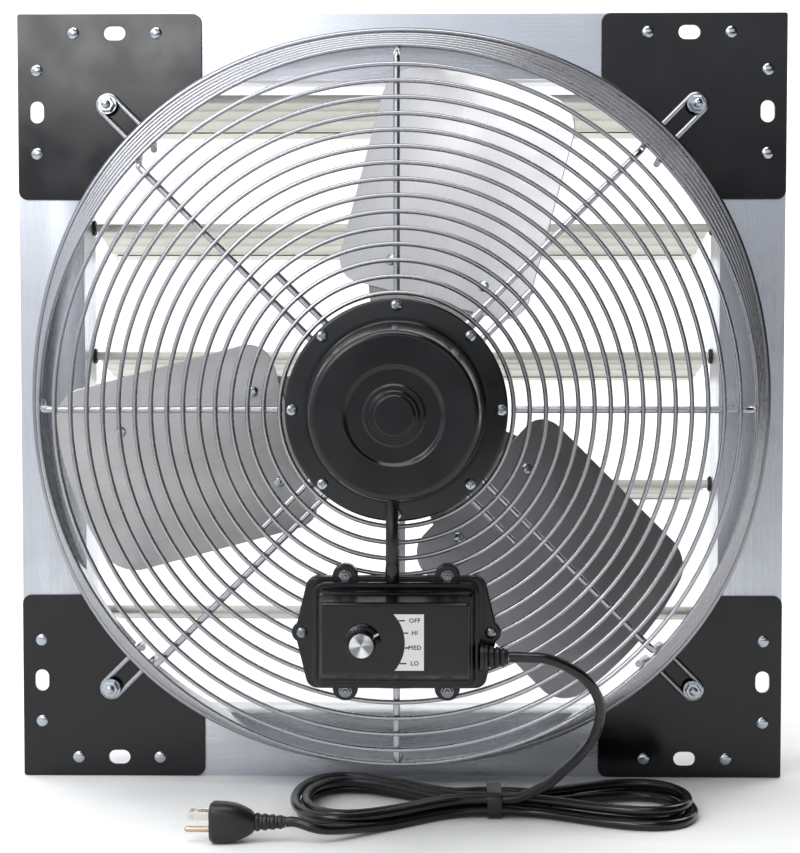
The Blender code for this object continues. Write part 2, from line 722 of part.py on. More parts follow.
def build_wheel(axis):
    """Fan wheel: pitched paddle blades riveted to the arms of a spider on the shaft."""
    bright = paint("mill blade aluminium", (0.48, 0.47, 0.49), 0.36, 1.0)
    cast = paint("grey spider", (0.30, 0.29, 0.28), 0.45, 0.9)
    strips = 10
    half = BLADE_CHORD / 2 - 1e-4
    acrosses = [-half * math.cos(math.pi * k / strips) for k in range(strips + 1)]
    outs = []
    for across in acrosses:
        drop = corner_drop(across)
        swept = across * math.cos(math.radians(BLADE_PITCH))
        outs.append((BLADE_ROOT_R + drop, math.sqrt(BLADE_TIP_R ** 2 - swept ** 2) - drop))
    blade = curved_plate(outs, acrosses, 0, BLADE_T)
    arms = []
    widths = [ARM_END_WIDTH * k / 4 for k in (-2, -1, 0, 1, 2)]
    under = -GAP - ARM_T
    start = ARM_ROOT_WIDTH / ARM_END_WIDTH
    for k in range(BLADES):
        flare = [max(0, 2 * abs(width) / ARM_END_WIDTH - start) for width in widths]
        spread = [(HUB_R / 2 + (ARM_END_R - HUB_R) * share, ARM_END_R) for share in flare]
        arm = curved_plate(spread, widths, under, ARM_T)
        arm.transform(Matrix.Rotation(-math.radians(BLADE_ANGLE + 360 / BLADES * k), 4, "Y"))
        arms.append(arm)
    bore = SHAFT_R + GAP
    boss = [(bore, HUB_BACK), (bore, HUB_BACK + HUB_LENGTH), (HUB_R, HUB_BACK + HUB_LENGTH),
            (HUB_R, HUB_BACK)]
    spider = combined(revolve([boss], 16, closed=True), arms, "UNION")
    bored = rod((0, -HUB_BACK + HUB_LENGTH, 0), (0, -HUB_BACK - 2 * HUB_LENGTH, 0), bore, 16)
    place("fan_spider", combined(spider, [bored], "DIFFERENCE"), cast, axis)
    for k in range(BLADES):
        place(f"blade_{k + 1}", blade, bright, axis, turn=(0, -BLADE_ANGLE - 360 / BLADES * k, 0))


def louver_section():
    """A slat hanging shut from its pivot: a round bead, a thin ribbed web and a turned lip."""
    half = LOUVER_T / 2
    bottom = -LOUVER_CHORD
    outline = arc((0, 0), LOUVER_BEAD_R, -75, 255, 6)
    for k in range(1, 4):
        z = bottom * k / 4
        outline += [(-half, z + 3 * LOUVER_RIB), (-half - LOUVER_RIB, z), (-half, z - 3 * LOUVER_RIB)]
    lip = 3 * LOUVER_T
    return outline + [(-half, bottom), (lip, bottom), (lip, bottom + LOUVER_T), (half, bottom + LOUVER_T)]


def lug_at(angle):
    """Place of a slat's tie pin from its pivot, as (y, z), when the slat is open by an angle."""
    c, s = math.cos(math.radians(angle)), math.sin(math.radians(angle))
    return (-LUG_OUT * c - LUG_UP * s, -LUG_OUT * s + LUG_UP * c)


def build_shutter():
    """Slats on end pins in plastic bushes, tied together by a bar at mid length."""
    cream = paint("cream slat", (0.70, 0.69, 0.63), 0.45, 0.0)
    nylon = paint("black nylon", (0.02, 0.02, 0.02), 0.40, 0.0)
    bar_paint = paint("tie bar aluminium", (0.55, 0.55, 0.55), 0.40, 1.0)
    head_back = HALF_OPEN - GAP
    slat_end = head_back - BUSH_HEAD_T - RUNNING
    pin_end = HALF_OPEN + SLEEVE_T
    beside = TIE_WIDTH / 2 + RUNNING
    lug_y, lug_z = lug_at(0)
    along = Vector((0, lug_y, lug_z))
    aside = Vector((0, -lug_z, lug_y)).normalized() * LUG_WIDTH / 2
    past = along + along.normalized() * LUG_WIDTH / 2
    outline = [(p.y, p.z) for p in (aside, past + aside, past - aside, -aside)]
    lug = side_prism(outline, beside, beside + LUG_T)
    extras = [rod((-pin_end, 0, 0), (pin_end, 0, 0), LOUVER_PIN_R, 8), lug,
              rod((-beside, lug_y, lug_z), (beside + LUG_T / 2, lug_y, lug_z), TIE_PIN_R, 8)]
    slat = combined(side_prism(louver_section(), -slat_end, slat_end), extras, "UNION")
    bore = clear_of(LOUVER_PIN_R + GAP, 6)
    body_end = SLEEVE_T + GAP
    profile = [(bore, -BUSH_HEAD_T), (BUSH_HEAD_R, -BUSH_HEAD_T), (BUSH_HEAD_R, 0), (BUSH_R, 0),
               (BUSH_R, body_end), (bore, body_end)]
    bush = revolve([profile], 6, closed=True)
    for k, z in enumerate(louver_heights(), 1):
        place(f"louver_{k}", slat, cream, at=(0, PIVOT_Y, z), turn=(LOUVER_OPEN, 0, 0))
        for side, turn in (("left", -90), ("right", 90)):
            x = -head_back if side == "left" else head_back
            place(f"louver_bush_{k}_{side}", bush, nylon, at=(x, PIVOT_Y, z), turn=(0, 0, turn))
    first_y, first_z = lug_at(LOUVER_OPEN)
    length = LOUVER_PITCH * (LOUVERS - 1)
    bar = prism([(-TIE_WIDTH / 2, -length - TIE_END), (TIE_WIDTH / 2, -length - TIE_END),
                 (TIE_WIDTH / 2, TIE_END), (-TIE_WIDTH / 2, TIE_END)], -TIE_WIDTH / 2, TIE_WIDTH / 2)
    holes = [rod((-TIE_WIDTH, 0, -LOUVER_PITCH * k), (TIE_WIDTH, 0, -LOUVER_PITCH * k),
                 clear_of(TIE_PIN_R + RUNNING, 8), 8) for k in range(LOUVERS)]
    place("tie_bar", combined(bar, holes, "DIFFERENCE"), bar_paint,
          at=(0, PIVOT_Y + first_y, LOUVER_TOP + first_z))


def cover_loops(shrink):
    """Outlines of the stepped cover from back to front, drawn in all round by a wall."""
    low = COVER_BACK
    high = COVER_FRONT - shrink
    first = low + COVER_SHOULDER
    step = COVER_STEP
    sizes = [(COVER_W, COVER_H, low), (COVER_W, COVER_H, first),
             (COVER_W - step, COVER_H - step, first + step / 2),
             (COVER_W - 2 * step, COVER_H - 2 * step, low + COVER_BROW),
             (COVER_TOP_W, COVER_TOP_H, high)]
    loops = []
    for width, height, depth in sizes:
        outline = rounded_rectangle(width - 2 * shrink, height - 2 * shrink, COVER_ROUND - shrink)
        loops.append([(x, -depth, BOX_Z + z) for x, z in outline])
    return loops


def base_outline():
    """The box's back plate: an ear round each clamp nut, and a pointed side round each cover screw."""
    half_w, half_h = BOX_PLATE_W / 2, BOX_PLATE_H / 2
    corner = (half_w - BOX_CORNER_IN - COVER_ROUND, half_h - COVER_ROUND)
    right = [*arc((half_w, 0), BOX_SIDE_R, 20, 60, 2), *arc(corner, COVER_ROUND, 15, 90, 3),
             *arc((BOX_EAR_X, half_h), BOX_EAR_R, 0, 180, 6)]
    upper = right + [(-x, z) for x, z in reversed(right)]
    return upper + [(-x, -z) for x, z in upper]


def build_box():
    """Speed control: a plate clamped on the guard, a hollow stepped cover, a switch, knob and dial."""
    black = paint("satin black moulding", (0.020, 0.020, 0.021), 0.34, 0.0)
    dial_white = paint("dial white", (0.78, 0.78, 0.78), 0.40, 0.0)
    grey = paint("switch grey", (0.12, 0.12, 0.12), 0.50, 0.0)
    base = prism(base_outline(), BOX_BACK, BOX_BACK + BOX_PLATE_T)
    place("control_box_base", base, black, at=(0, 0, BOX_Z))
    hole = rod((KNOB_X, -COVER_BACK, BOX_Z), (KNOB_X, -2 * COVER_FRONT, BOX_Z),
               SWITCH_SHAFT_R + RUNNING, 12)
    shell = loft(list(reversed(cover_loops(COVER_WALL))) + cover_loops(0))
    place("control_box_cover", combined(shell, [hole], "DIFFERENCE"), black)
    knob_back = COVER_FRONT + GAP
    inside = COVER_FRONT - COVER_WALL - GAP
    half = SWITCH_SIDE / 2
    body = prism(rounded_rectangle(SWITCH_SIDE, SWITCH_SIDE, half / 4, 1), inside - half, inside)
    shaft_end = knob_back + KNOB_LENGTH / 2
    shaft = rod((0, -inside + half / 2, 0), (0, -shaft_end, 0), SWITCH_SHAFT_R, 12)
    place("speed_switch", combined(body, [shaft], "UNION"), grey, at=(KNOB_X, 0, BOX_Z))
    socket = SWITCH_SHAFT_R + RUNNING
    top = knob_back + KNOB_LENGTH
    skirt = knob_back + KNOB_SKIRT_T
    knob = [(0, shaft_end + GAP), (socket, shaft_end + GAP), (socket, knob_back), (KNOB_SKIRT_R, knob_back),
            (KNOB_SKIRT_R, skirt), (KNOB_R, skirt + GAP), (KNOB_R - GAP, top), (0, top)]
    place("speed_knob", revolve([knob], 20), black, at=(KNOB_X, 0, BOX_Z))
    edge = math.degrees(math.asin(DIAL_TOP / DIAL_ARC_R))
    low_edge = math.degrees(math.asin(DIAL_BOTTOM / DIAL_ARC_R))
    arc_points = arc((KNOB_X, 0), DIAL_ARC_R, edge, low_edge, 6)
    right = KNOB_X + DIAL_OFF_KNOB
    outline = [(right, DIAL_BOTTOM), (right, DIAL_TOP), *arc_points]
    place("dial_plate", prism(outline, knob_back, knob_back + DIAL_T), dial_white, at=(0, 0, BOX_Z))


def build_leads():
    """The motor's lead to the box, the ribbed cord grip, and the cord, its tied hank and its plug."""
    rubber = paint("black cord jacket", (0.016, 0.016, 0.017), 0.30, 0.0)
    depth = COVER_BACK + LEAD_IN
    taper = (HOUSING_REAR_R - HOUSING_FRONT_R) / (HOUSING_LENGTH - HOUSING_EDGE)
    top = -(HOUSING_REAR_R - (depth - LEAD_D / 2 - MOTOR_FACE) * taper) - GAP
    bottom = BOX_Z + COVER_H / 2 + GAP
    run = bottom - top
    lead = [(LEAD_X, -depth - bow, top + run * share)
            for share, bow in ((0, 0), (1 / 6, 0), (1 / 2, LEAD_BOW), (5 / 6, 0), (1, 0))]
    place("motor_lead", tube("motor_lead", lead, LEAD_D, 2), rubber)
    profile = [(0, 0), (GRIP_R, 0)]
    pitch = GRIP_LENGTH / (GRIP_RIBS + 1)
    for k in range(GRIP_RIBS):
        at = pitch * (k + 1)
        crest = GRIP_R + (GRIP_END_R - GRIP_R) * at / GRIP_LENGTH
        profile += [(crest - 2 * RUNNING, at - pitch / 3), (crest, at - pitch / 4),
                    (crest, at + pitch / 4), (crest - 2 * RUNNING, at + pitch / 3)]
    profile += [(GRIP_END_R - 2 * RUNNING, GRIP_LENGTH), (0, GRIP_LENGTH)]
    grip_at = (GRIP_START, -GRIP_DEPTH, GRIP_Z)
    place("cord_grip", revolve([profile], 12), rubber, at=grip_at, turn=(0, 0, 90))
    start = Vector((CORD_START, -GRIP_DEPTH, GRIP_Z))
    end = Vector(HANK_END)
    last = Vector(DROP_ROUTE[-1])
    landing = (end - last).normalized()
    straight = start + Vector((CORD_D, 0, 0))
    drop = smooth_curve([start, straight, *DROP_ROUTE, end - landing * CORD_D], 2.5 * CORD_D)
    place("power_cord", tube("power_cord", [*drop, end], CORD_D, 2), rubber)
    hank = hank_path(end + landing * GAP, landing)
    place("cord_hank", tube("cord_hank", hank, CORD_D, 1), rubber)
    print(f"hank: least gap to itself {1000 * least_gap(hank):.2f} mm, {path_length(hank):.3f} m long")
    build_band(rubber)


def hank_point(turn):
    """Centre of the cord after so many turns: inwards in the lower layer, outwards in the upper."""
    angle = math.tau * turn - math.pi / 2
    c, s = math.cos(angle), math.sin(angle)
    inwards = HANK_STEP * min(turn, HANK_TURNS - turn)
    lobe = math.hypot(max(0, abs(c) - HANK_FLAT), HANK_SOFT) - HANK_SOFT
    half = HANK_LEFT if c < 0 else HANK_RIGHT
    x = (HANK_REACH - inwards) * c
    y = s * (HANK_WAIST - inwards + HANK_SWELL * (half - inwards) * lobe)
    climb = min(1, max(0, 2 * (turn - HANK_TURNS / 2) + 0.5))
    layer = HANK_LAYER * climb * climb * (3 - 2 * climb)
    lift = BAND_LIFT / (1 + (x / (2 * BAND_WIDTH)) ** 4)
    return Vector((HANK_X + x, HANK_Y + y, HANK_FLOOR + layer + lift))


def hank_path(end, landing):
    """The hank as one unbroken cord, from where it lands off the drop to the plug."""
    plug = Vector((PLUG_END + GAP, PLUG_Y, PLUG_Z))
    count = HANK_TURNS * HANK_POINTS
    turns = [hank_point(HANK_TURNS - k / HANK_POINTS) for k in range(count)]
    off = [hank_point(-k / HANK_POINTS) for k in range(3)]
    landed = smooth_curve([end + landing * CORD_D, *HANK_LANDING, turns[0]], 1.5 * CORD_D)
    out = [plug + Vector((4 * CORD_D, 0, 0)), plug + Vector((CORD_D, 0, 0))]
    out[0].z = (plug.z + HANK_FLOOR) / 2
    tail = smooth_curve([off[-1], *out], 2.5 * CORD_D)
    return [end, *landed[:-1], *turns, *off, *tail[1:], plug]


def least_gap(points):
    """Least distance between a cord's sides, over points more than a few diameters apart along it."""
    least = 1.0
    for k, point in enumerate(points):
        along = 0.0
        for before, other in zip(points[k:], points[k + 1:]):
            along += (other - before).length
            if along > 6 * CORD_D:
                least = min(least, (other - point).length - CORD_D)
    return least


def path_length(points):
    return sum((after - before).length for before, after in zip(points, points[1:]))


def build_band(material):
    """Tie round the hank's waist, down to the floor."""
    room = 4 * RUNNING
    near = HANK_WAIST + CORD_D / 2 + room
    far = HANK_WAIST - HANK_STEP / 2 + CORD_D / 2 + room
    top = HANK_FLOOR + BAND_LIFT + HANK_LAYER + CORD_D / 2 + 2 * RUNNING
    low = FLOOR_Z + BAND_T
    loops = []
    for x, grow in ((-1, 0), (1, 0), (1, BAND_T), (-1, BAND_T)):
        width, height = near + far + 2 * grow, top - low + 2 * grow
        centre = (HANK_Y + (far - near) / 2, (top + low) / 2)
        outline = rounded_rectangle(width, height, CORD_D / 2 + grow, 3, centre)
        loops.append([(HANK_X + x * BAND_WIDTH / 2, y, z) for y, z in outline])
    place("cord_tie", loft(loops, closed=True), material)


def build_plug():
    """Three-pin plug on its side: two blades above a round earth pin, and a ribbed relief."""
    rubber = paint("black plug", (0.018, 0.018, 0.019), 0.33, 0.0)
    nickel = paint("nickel prong", (0.58, 0.55, 0.51), 0.25, 1.0)
    sides = 12
    waist = PLUG_X + PLUG_BODY
    loops = []
    for share, size, power in ((0, 0.86, 3.5), (0.08, 1, 3.5), (0.55, 1, 3), (0.8, 0.74, 2.5)):
        x = PLUG_X + PLUG_BODY * share
        loops.append(plug_section(x, PLUG_DEPTH * size, PLUG_HEIGHT * size, power, sides))
    pitch = PLUG_RELIEF / PLUG_RIBS
    for k in range(PLUG_RIBS):
        wide = CORD_D * (1.75 - 0.14 * k)
        narrow = 0.84 * wide
        for share, size in ((0, wide), (0.55, wide), (0.65, narrow), (0.9, narrow)):
            loops.append(plug_section(waist + pitch * (k + share), size, size, 2, sides))
    loops.append(plug_section(PLUG_END, CORD_D, CORD_D, 2, sides))
    place("plug_body", loft(loops), rubber, at=(0, PLUG_Y, PLUG_Z))
    face = PLUG_X - GAP
    blade_z = PIN_DROP / 2
    for name, y in (("plug_blade_near", -PRONG_APART / 2), ("plug_blade_far", PRONG_APART / 2)):
        outline = rounded_rectangle(PRONG_T, PRONG_WIDTH, PRONG_T / 4, 1)
        blade = side_prism(outline, -PRONG_LENGTH, 0)
        place(name, blade, nickel, at=(face, PLUG_Y + y, PLUG_Z + blade_z))
    pin = rod((-1.15 * PRONG_LENGTH, 0, 0), (0, 0, 0), PIN_R, 12)
    place("plug_ground_pin", pin, nickel, at=(face, PLUG_Y, PLUG_Z + blade_z - PIN_DROP))


def plug_section(x, depth, height, power, sides):
    """A rounded section across the plug: a higher power makes it squarer."""
    loop = []
    for k in range(sides):
        c, s = math.cos(math.tau * k / sides), math.sin(math.tau * k / sides)
        y = math.copysign(abs(c) ** (2 / power), c) * depth / 2
        z = math.copysign(abs(s) ** (2 / power), s) * height / 2
        loop.append((x, y, z))
    return loop


def main():
    clear_scene()
    fan_axis = axis_empty("fan_axis")
    build_frame()
    build_corners()
    build_ring()
    build_guard()
    build_struts()
    build_motor(fan_axis)
    build_wheel(fan_axis)
    build_shutter()
    build_box()
    build_leads()
    build_plug()


main()
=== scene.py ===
"""Looks of a wall shutter exhaust fan, in the frame of its CAD parts.

Metres, +Z up. The room is towards -Y, and a depth is a distance from the wall's plane into the room.
Each operator makes one group of pieces, sets them on the CAD body that carries them and hides the CAD
nodes that they stand for.
"""

import math

import bmesh
import bpy
from bpy.props import FloatProperty, FloatVectorProperty, IntProperty, PointerProperty
from bpy.types import Operator, Panel, PropertyGroup
from mathutils import Matrix, Vector


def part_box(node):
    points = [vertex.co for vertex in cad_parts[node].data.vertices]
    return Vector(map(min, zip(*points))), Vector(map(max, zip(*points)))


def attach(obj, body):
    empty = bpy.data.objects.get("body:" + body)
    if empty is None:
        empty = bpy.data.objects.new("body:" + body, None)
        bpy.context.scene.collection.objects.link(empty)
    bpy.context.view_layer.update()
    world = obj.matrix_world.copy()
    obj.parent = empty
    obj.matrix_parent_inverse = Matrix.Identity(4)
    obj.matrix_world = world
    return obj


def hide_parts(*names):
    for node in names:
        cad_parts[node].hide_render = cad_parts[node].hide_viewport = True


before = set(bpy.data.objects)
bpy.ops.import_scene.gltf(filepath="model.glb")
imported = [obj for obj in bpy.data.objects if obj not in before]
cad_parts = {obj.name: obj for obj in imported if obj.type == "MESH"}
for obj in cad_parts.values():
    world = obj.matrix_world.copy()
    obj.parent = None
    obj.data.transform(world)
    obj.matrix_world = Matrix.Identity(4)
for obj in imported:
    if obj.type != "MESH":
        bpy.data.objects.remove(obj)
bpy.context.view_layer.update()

bl_info = {
    "name": "Wall shutter exhaust fan",
    "version": (1, 0, 0),
    "blender": (4, 5, 0),
    "location": "View3D > Sidebar > Fan",
    "description": "Dresses the CAD parts of a wall shutter exhaust fan for a render",
    "category": "Object",
}

# The CAD bodies that carry most of the pieces
HOUSING = "housing"
WHEEL = "fan_wheel"
KNOB = "speed_knob"
# The gap between neighbouring CAD parts, a millimetre and a tenth of one
GAP = 0.0003
MM = 0.001
TENTH = 0.0001
# The way that the fan faces, and quarter turns
FRONT = (0, -1, 0)
ABOUT_X = Matrix.Rotation(math.pi / 2, 4, "X")
ABOUT_Z = Matrix.Rotation(math.pi / 2, 4, "Z")
# Wall of a slat's bush, and the thickness of its head
BUSH_WALL = 0.0018
BUSH_HEAD = 0.0022


def depths(node):
    """Back and front depth of a CAD part."""
    low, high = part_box(node)
    return -high.y, -low.y


# Places that come from the CAD parts
HALF_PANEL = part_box("frame_right")[1].x
FLOOR_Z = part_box("frame_bottom")[0].z
FLANGE_T = depths("frame_right")[1]
PLATE_BACK, PLATE_FRONT = depths("corner_plate_tr")
RING_BASE, RING_FRONT = depths("venturi_ring")
MOTOR_SEAT, MOTOR_FRONT = depths("motor_flange")
HOUSING_BACK = depths("motor_housing")[0]
COVER_BACK, COVER_FRONT = depths("control_box_cover")
BASE_BACK, BASE_FRONT = depths("control_box_base")


def srgb(code):
    """Linear red, green and blue of an sRGB hex colour."""
    values = [int(code[k:k + 2], 16) / 255 for k in (1, 3, 5)]
    return [v / 12.92 if v <= 0.04045 else ((v + 0.055) / 1.055) ** 2.4 for v in values]


def length(label, text, default):
    return FloatProperty(name=label, description=text, default=default, unit="LENGTH", precision=5)


def count(label, text, default):
    return IntProperty(name=label, description=text, default=default, min=1)


def degrees(label, text, default):
    return FloatProperty(name=label, description=text, default=math.radians(default), subtype="ANGLE")


def watts(label, text, default):
    return FloatProperty(name=label, description=text, default=default, subtype="POWER")


def colour(label, text, code):
    return FloatVectorProperty(name=label, description=text, default=srgb(code), subtype="COLOR",
                               min=0, max=1)


class FrameSizes(PropertyGroup):
    opening: length("Opening", "Clear width of the sleeve", 0.570)
    sheet: length("Sheet", "Thickness of the angle extrusions", 0.0025)
    sleeve: length("Sleeve", "Depth of the sleeve behind the wall's plane", 0.060)
    sill: length("Sill", "Depth of the lower sleeve, under the last slat", 0.046)
    plate: length("Corner plate", "Side of a corner plate", 0.165)
    plate_round: length("Plate corner", "Radius of a corner plate's free corners", 0.008)
    slot_length: length("Slot length", "Length of a wall screw's slot", 0.0194)
    slot_width: length("Slot width", "Width of a wall screw's slot", 0.0125)
    slot_in: length("Slot inset", "Slots and rivets from the panel's edge", 0.017)
    slot_along: length("Slot place", "Slots from the panel's corner", 0.087)
    rivet_near: length("Near rivet", "First rivet from the panel's corner", 0.050)
    rivet_far: length("Far rivet", "Second rivet from the panel's corner", 0.124)
    rivet: length("Rivet head", "Radius of a corner rivet's head", 0.0054)
    bolt_circle: length("Bolt circle", "Radius of the circle through the corner bolts", 0.3705)
    ring: length("Ring", "Mean inner radius of the sheet ring", 0.3231)
    swell: length("Ring swell", "How far the ring swells towards the panel's corners", 0.004)
    ring_sheet: length("Ring sheet", "Thickness of the ring's sheet", 0.0015)
    lip: length("Rolled lip", "Radius of the ring's rolled lip", 0.003)


class GuardSizes(PropertyGroup):
    face_depth: length("Face depth", "Depth of the guard's face", 0.235)
    wire: length("Wire", "Diameter of the ring wire", 0.0037)
    rod: length("Rod", "Diameter of the rods that carry the rings", 0.0054)
    weld: length("Weld", "How far the rings sink into the rods", 0.0008)
    face_rings: count("Face rings", "Rings in the guard's face", 15)
    face_first: length("First ring", "Radius of the ring next to the motor", 0.092)
    face_last: length("Last ring", "Radius of the face's outer ring", 0.2698)
    side_rings: count("Side rings", "Rings in the guard's side", 6)
    side_front: length("Side front", "Depth of the side's first ring", 0.195)
    side_back: length("Side back", "Depth of the side's last ring", 0.060)
    front_radius: length("Front radius", "Radius of the side's first ring", 0.2895)
    back_radius: length("Back radius", "Mean radius of the side's last ring", 0.3205)
    rod_bend: length("Rod bend", "Radius where a rod turns from face to side", 0.006)
    strut: length("Strut", "Diameter of the motor's carrying rods", 0.0055)
    strut_pair: length("Strut pair", "Distance between a strut's two legs", 0.017)
    strut_stub: length("Strut stub", "Length of a strut's short inner end", 0.061)
    strut_bend: length("Strut bend", "Radius of a strut's bends", 0.010)
    strut_clear: length("Strut clearance", "Gap between a strut and the ring", 0.0035)


class MotorSizes(PropertyGroup):
    flange: length("Flange", "Radius of the motor's flange", 0.0875)
    flange_edge: length("Flange edge", "Radius of the flange's rounded edge", 0.0022)
    rear: length("Rear radius", "Radius of the housing at the flange", 0.0695)
    front: length("Front radius", "Radius of the housing at its face", 0.0632)
    body: length("Length", "Length of the housing", 0.092)
    edge: length("Edge", "Radius of the housing's front edge", 0.0042)
    groove: length("Groove", "Radius of the groove in the face", 0.035)
    nose: length("Nose", "Radius of the bearing's nose", 0.018)
    screws: count("Screws", "Screws round the flange", 8)
    screw_circle: length("Screw circle", "Radius of the circle through the screws", 0.082)
    shaft: length("Shaft", "Radius of the shaft", 0.00635)


class WheelSizes(PropertyGroup):
    blades: count("Blades", "Blades of the wheel", 3)
    angle: degrees("First blade", "Turn of the first blade from +X towards +Z", 75)
    depth: length("Depth", "Depth of the wheel's middle", 0.129)
    tip: length("Tip", "Radius of the blades' tips", 0.2825)
    root: length("Root", "Radius of the blades' inner ends", 0.090)
    chord: length("Chord", "Width of a blade", 0.180)
    pitch: degrees("Pitch", "Twist of a blade out of the wheel's plane", 25)
    camber: length("Camber", "Rise of a blade's curve", 0.006)
    sheet: length("Sheet", "Thickness of a blade", 0.0016)
    corner: length("Corner", "Radius of a blade's corners", 0.022)
    arm: length("Arm", "Thickness of the spider's arms", 0.003)
    arm_end: length("Arm end", "Radius that the arms reach", 0.140)
    arm_width: length("Arm width", "Width of an arm's end", 0.110)
    arm_root: length("Arm root", "Width of an arm at the hub", 0.036)
    hub: length("Hub", "Radius of the hub", 0.022)
    hub_length: length("Hub length", "Length of the hub", 0.044)
    rivet: length("Rivet head", "Radius of a blade rivet's head", 0.0048)


class ShutterSizes(PropertyGroup):
    slats: count("Slats", "Slats of the shutter", 5)
    top: length("First pivot", "Height of the first slat's pivot", 0.273)
    spacing: length("Spacing", "Distance between the pivots", 0.118)
    chord: length("Chord", "Height of a shut slat", 0.121)
    pivot: length("Pivot", "Distance of the pivots behind the wall's plane", 0.050)
    sheet: length("Sheet", "Thickness of a slat", 0.0018)
    rib: length("Rib", "Height of a slat's ribs", 0.0012)
    bead: length("Bead", "Radius of the round bead at the pivot", 0.004)
    pin: length("Pin", "Radius of a slat's end pins", 0.0024)
    opened: degrees("Opening", "How far the slats hang open", 78)
    lug_out: length("Lug reach", "Tie pin from the pivot, towards the room", 0.026)
    lug_up: length("Lug rise", "Tie pin above the pivot", 0.006)
    bar: length("Tie bar", "Side of the square tie bar", 0.006)


class BoxSizes(PropertyGroup):
    middle: length("Height", "Height of the box's middle", -0.174)
    plate_width: length("Plate width", "Distance between the side screws", 0.148)
    plate_height: length("Plate height", "Height of the back plate", 0.088)
    ear_x: length("Ear place", "Ears from the box's middle", 0.040)
    ear: length("Ear", "Radius of an ear", 0.010)
    side: length("Side", "Radius of the pointed sides", 0.008)
    width: length("Width", "Width of the cover", 0.130)
    height: length("Cover height", "Height of the cover", 0.082)
    top_width: length("Face width", "Width of the cover's face", 0.110)
    top_height: length("Face height", "Height of the cover's face", 0.052)
    shoulder: length("Shoulder", "Depth of the cover's first step", 0.01836)
    corner: length("Corner", "Radius of the cover's corners", 0.009)
    knob_x: length("Knob place", "Knob from the box's middle", -0.025)
    skirt: length("Skirt", "Radius of the knob's skirt", 0.0145)
    knob: length("Knob", "Radius of the knob", 0.0105)
    knob_length: length("Knob length", "Length of the knob", 0.016)
    dial_radius: length("Dial arc", "Radius of the dial's inner edge", 0.0325)


class CordSizes(PropertyGroup):
    cord: length("Cord", "Diameter of the supply cord", 0.0083)
    lead: length("Lead", "Diameter of the motor's lead", 0.011)
    grip: length("Grip", "Radius of the cord grip at the box", 0.0105)
    grip_end: length("Grip end", "Radius of the cord grip at the cord", 0.0068)
    grip_length: length("Grip length", "Length of the cord grip", 0.022)
    turns: count("Turns", "Turns of the tied hank", 3)
    step: length("Step", "Distance between neighbouring turns", 0.0093)
    reach: length("Reach", "Half the hank's length", 0.169)
    band: length("Tie", "Width of the hank's tie", 0.012)
    band_sheet: length("Tie thickness", "Thickness of the hank's tie", 0.0015)


class Finishes(PropertyGroup):
    flange: colour("Extrusion", "Extruded aluminium of the frame", "#C3C6CC")
    plate: colour("Corner plate", "Gloss black enamel of the corner plates", "#0D0C0E")
    zinc: colour("Zinc", "Bright zinc of bolts, nuts and rivets", "#B0B6BB")
    ring: colour("Ring", "Spun aluminium of the ring", "#97989B")
    wire: colour("Wire", "Dull zinc of the guard's wire", "#A2A2A6")
    rod: colour("Rod", "Drawn steel of the struts", "#A8A8AB")
    motor: colour("Motor", "Satin black enamel of the motor", "#0E0E0F")
    blade: colour("Blade", "Rolled aluminium of the blades", "#B8B7B7")
    spider: colour("Spider", "Cast spider of the wheel", "#8C8984")
    slat: colour("Slat", "Cream enamel of the slats", "#E4E2DA")
    box: colour("Box", "Moulded black of the control box", "#080808")
    cord: colour("Cord", "Black jacket of the cord", "#101011")
    dial: colour("Dial", "White of the dial plate", "#C7C6C5")
    nickel: colour("Prongs", "Nickel of the plug's blades", "#D6D2CA")


class StageSettings(PropertyGroup):
    camera_x: length("Camera X", "Place of the camera across the room", 0.02975)
    camera_y: length("Camera Y", "Place of the camera out from the wall", -1.83)
    camera_z: length("Camera Z", "Height of the camera", 0.0705)
    tilt: degrees("Tilt", "How far the camera looks down", 3.0)
    pan: degrees("Pan", "How far the camera looks to the left", 0.97)
    lens: FloatProperty(name="Lens", description="Focal length on a 36 mm sensor", default=85.78,
                        subtype="DISTANCE_CAMERA")
    bright_side: colour("Bright side", "Light from the studio's left", "#EDF1F9")
    dark_side: colour("Dark side", "Light from the studio's right", "#383633")
    key: watts("Key", "Power of the key light, which the upper left plate mirrors", 5.2)
    top: watts("Top", "Power of the light from above", 25)
    fill: watts("Fill", "Power of the broad light from the left", 28)
    back: watts("Back", "Power of each light on the backdrop", 44)


# Small tools for meshes

def shaded(mesh, sharp):
    """Smooth shading that breaks at edges sharper than an angle in degrees."""
    mesh.shade_smooth()
    mesh.set_sharp_from_angle(angle=math.radians(sharp))
    return mesh


def mesh_from(bm, sharp):
    mesh = bpy.data.meshes.new("shape")
    bm.to_mesh(mesh)
    bm.free()
    return shaded(mesh, sharp)


def made(bm, sharp=35.0):
    """The mesh of a closed shape, with its doubles merged and its faces turned outwards."""
    bmesh.ops.remove_doubles(bm, verts=bm.verts, dist=1e-7)
    bmesh.ops.recalc_face_normals(bm, faces=bm.faces)
    if bm.calc_volume(signed=True) < 0:
        bmesh.ops.reverse_faces(bm, faces=bm.faces)
    return mesh_from(bm, sharp)


def loft(loops, closed=False, sharp=35.0):
    """Join equal loops of points by quads, with a cap at each end unless they close on themselves."""
    bm = bmesh.new()
    rings = [[bm.verts.new(point) for point in loop] for loop in loops]
    pairs = list(zip(rings, rings[1:]))
    if closed:
        pairs.append((rings[-1], rings[0]))
    else:
        bm.faces.new(rings[0])
        bm.faces.new(reversed(rings[-1]))
    for near, far in pairs:
        for k in range(len(near)):
            after = (k + 1) % len(near)
            bm.faces.new((near[k], far[k], far[after], near[after]))
    return made(bm, sharp)


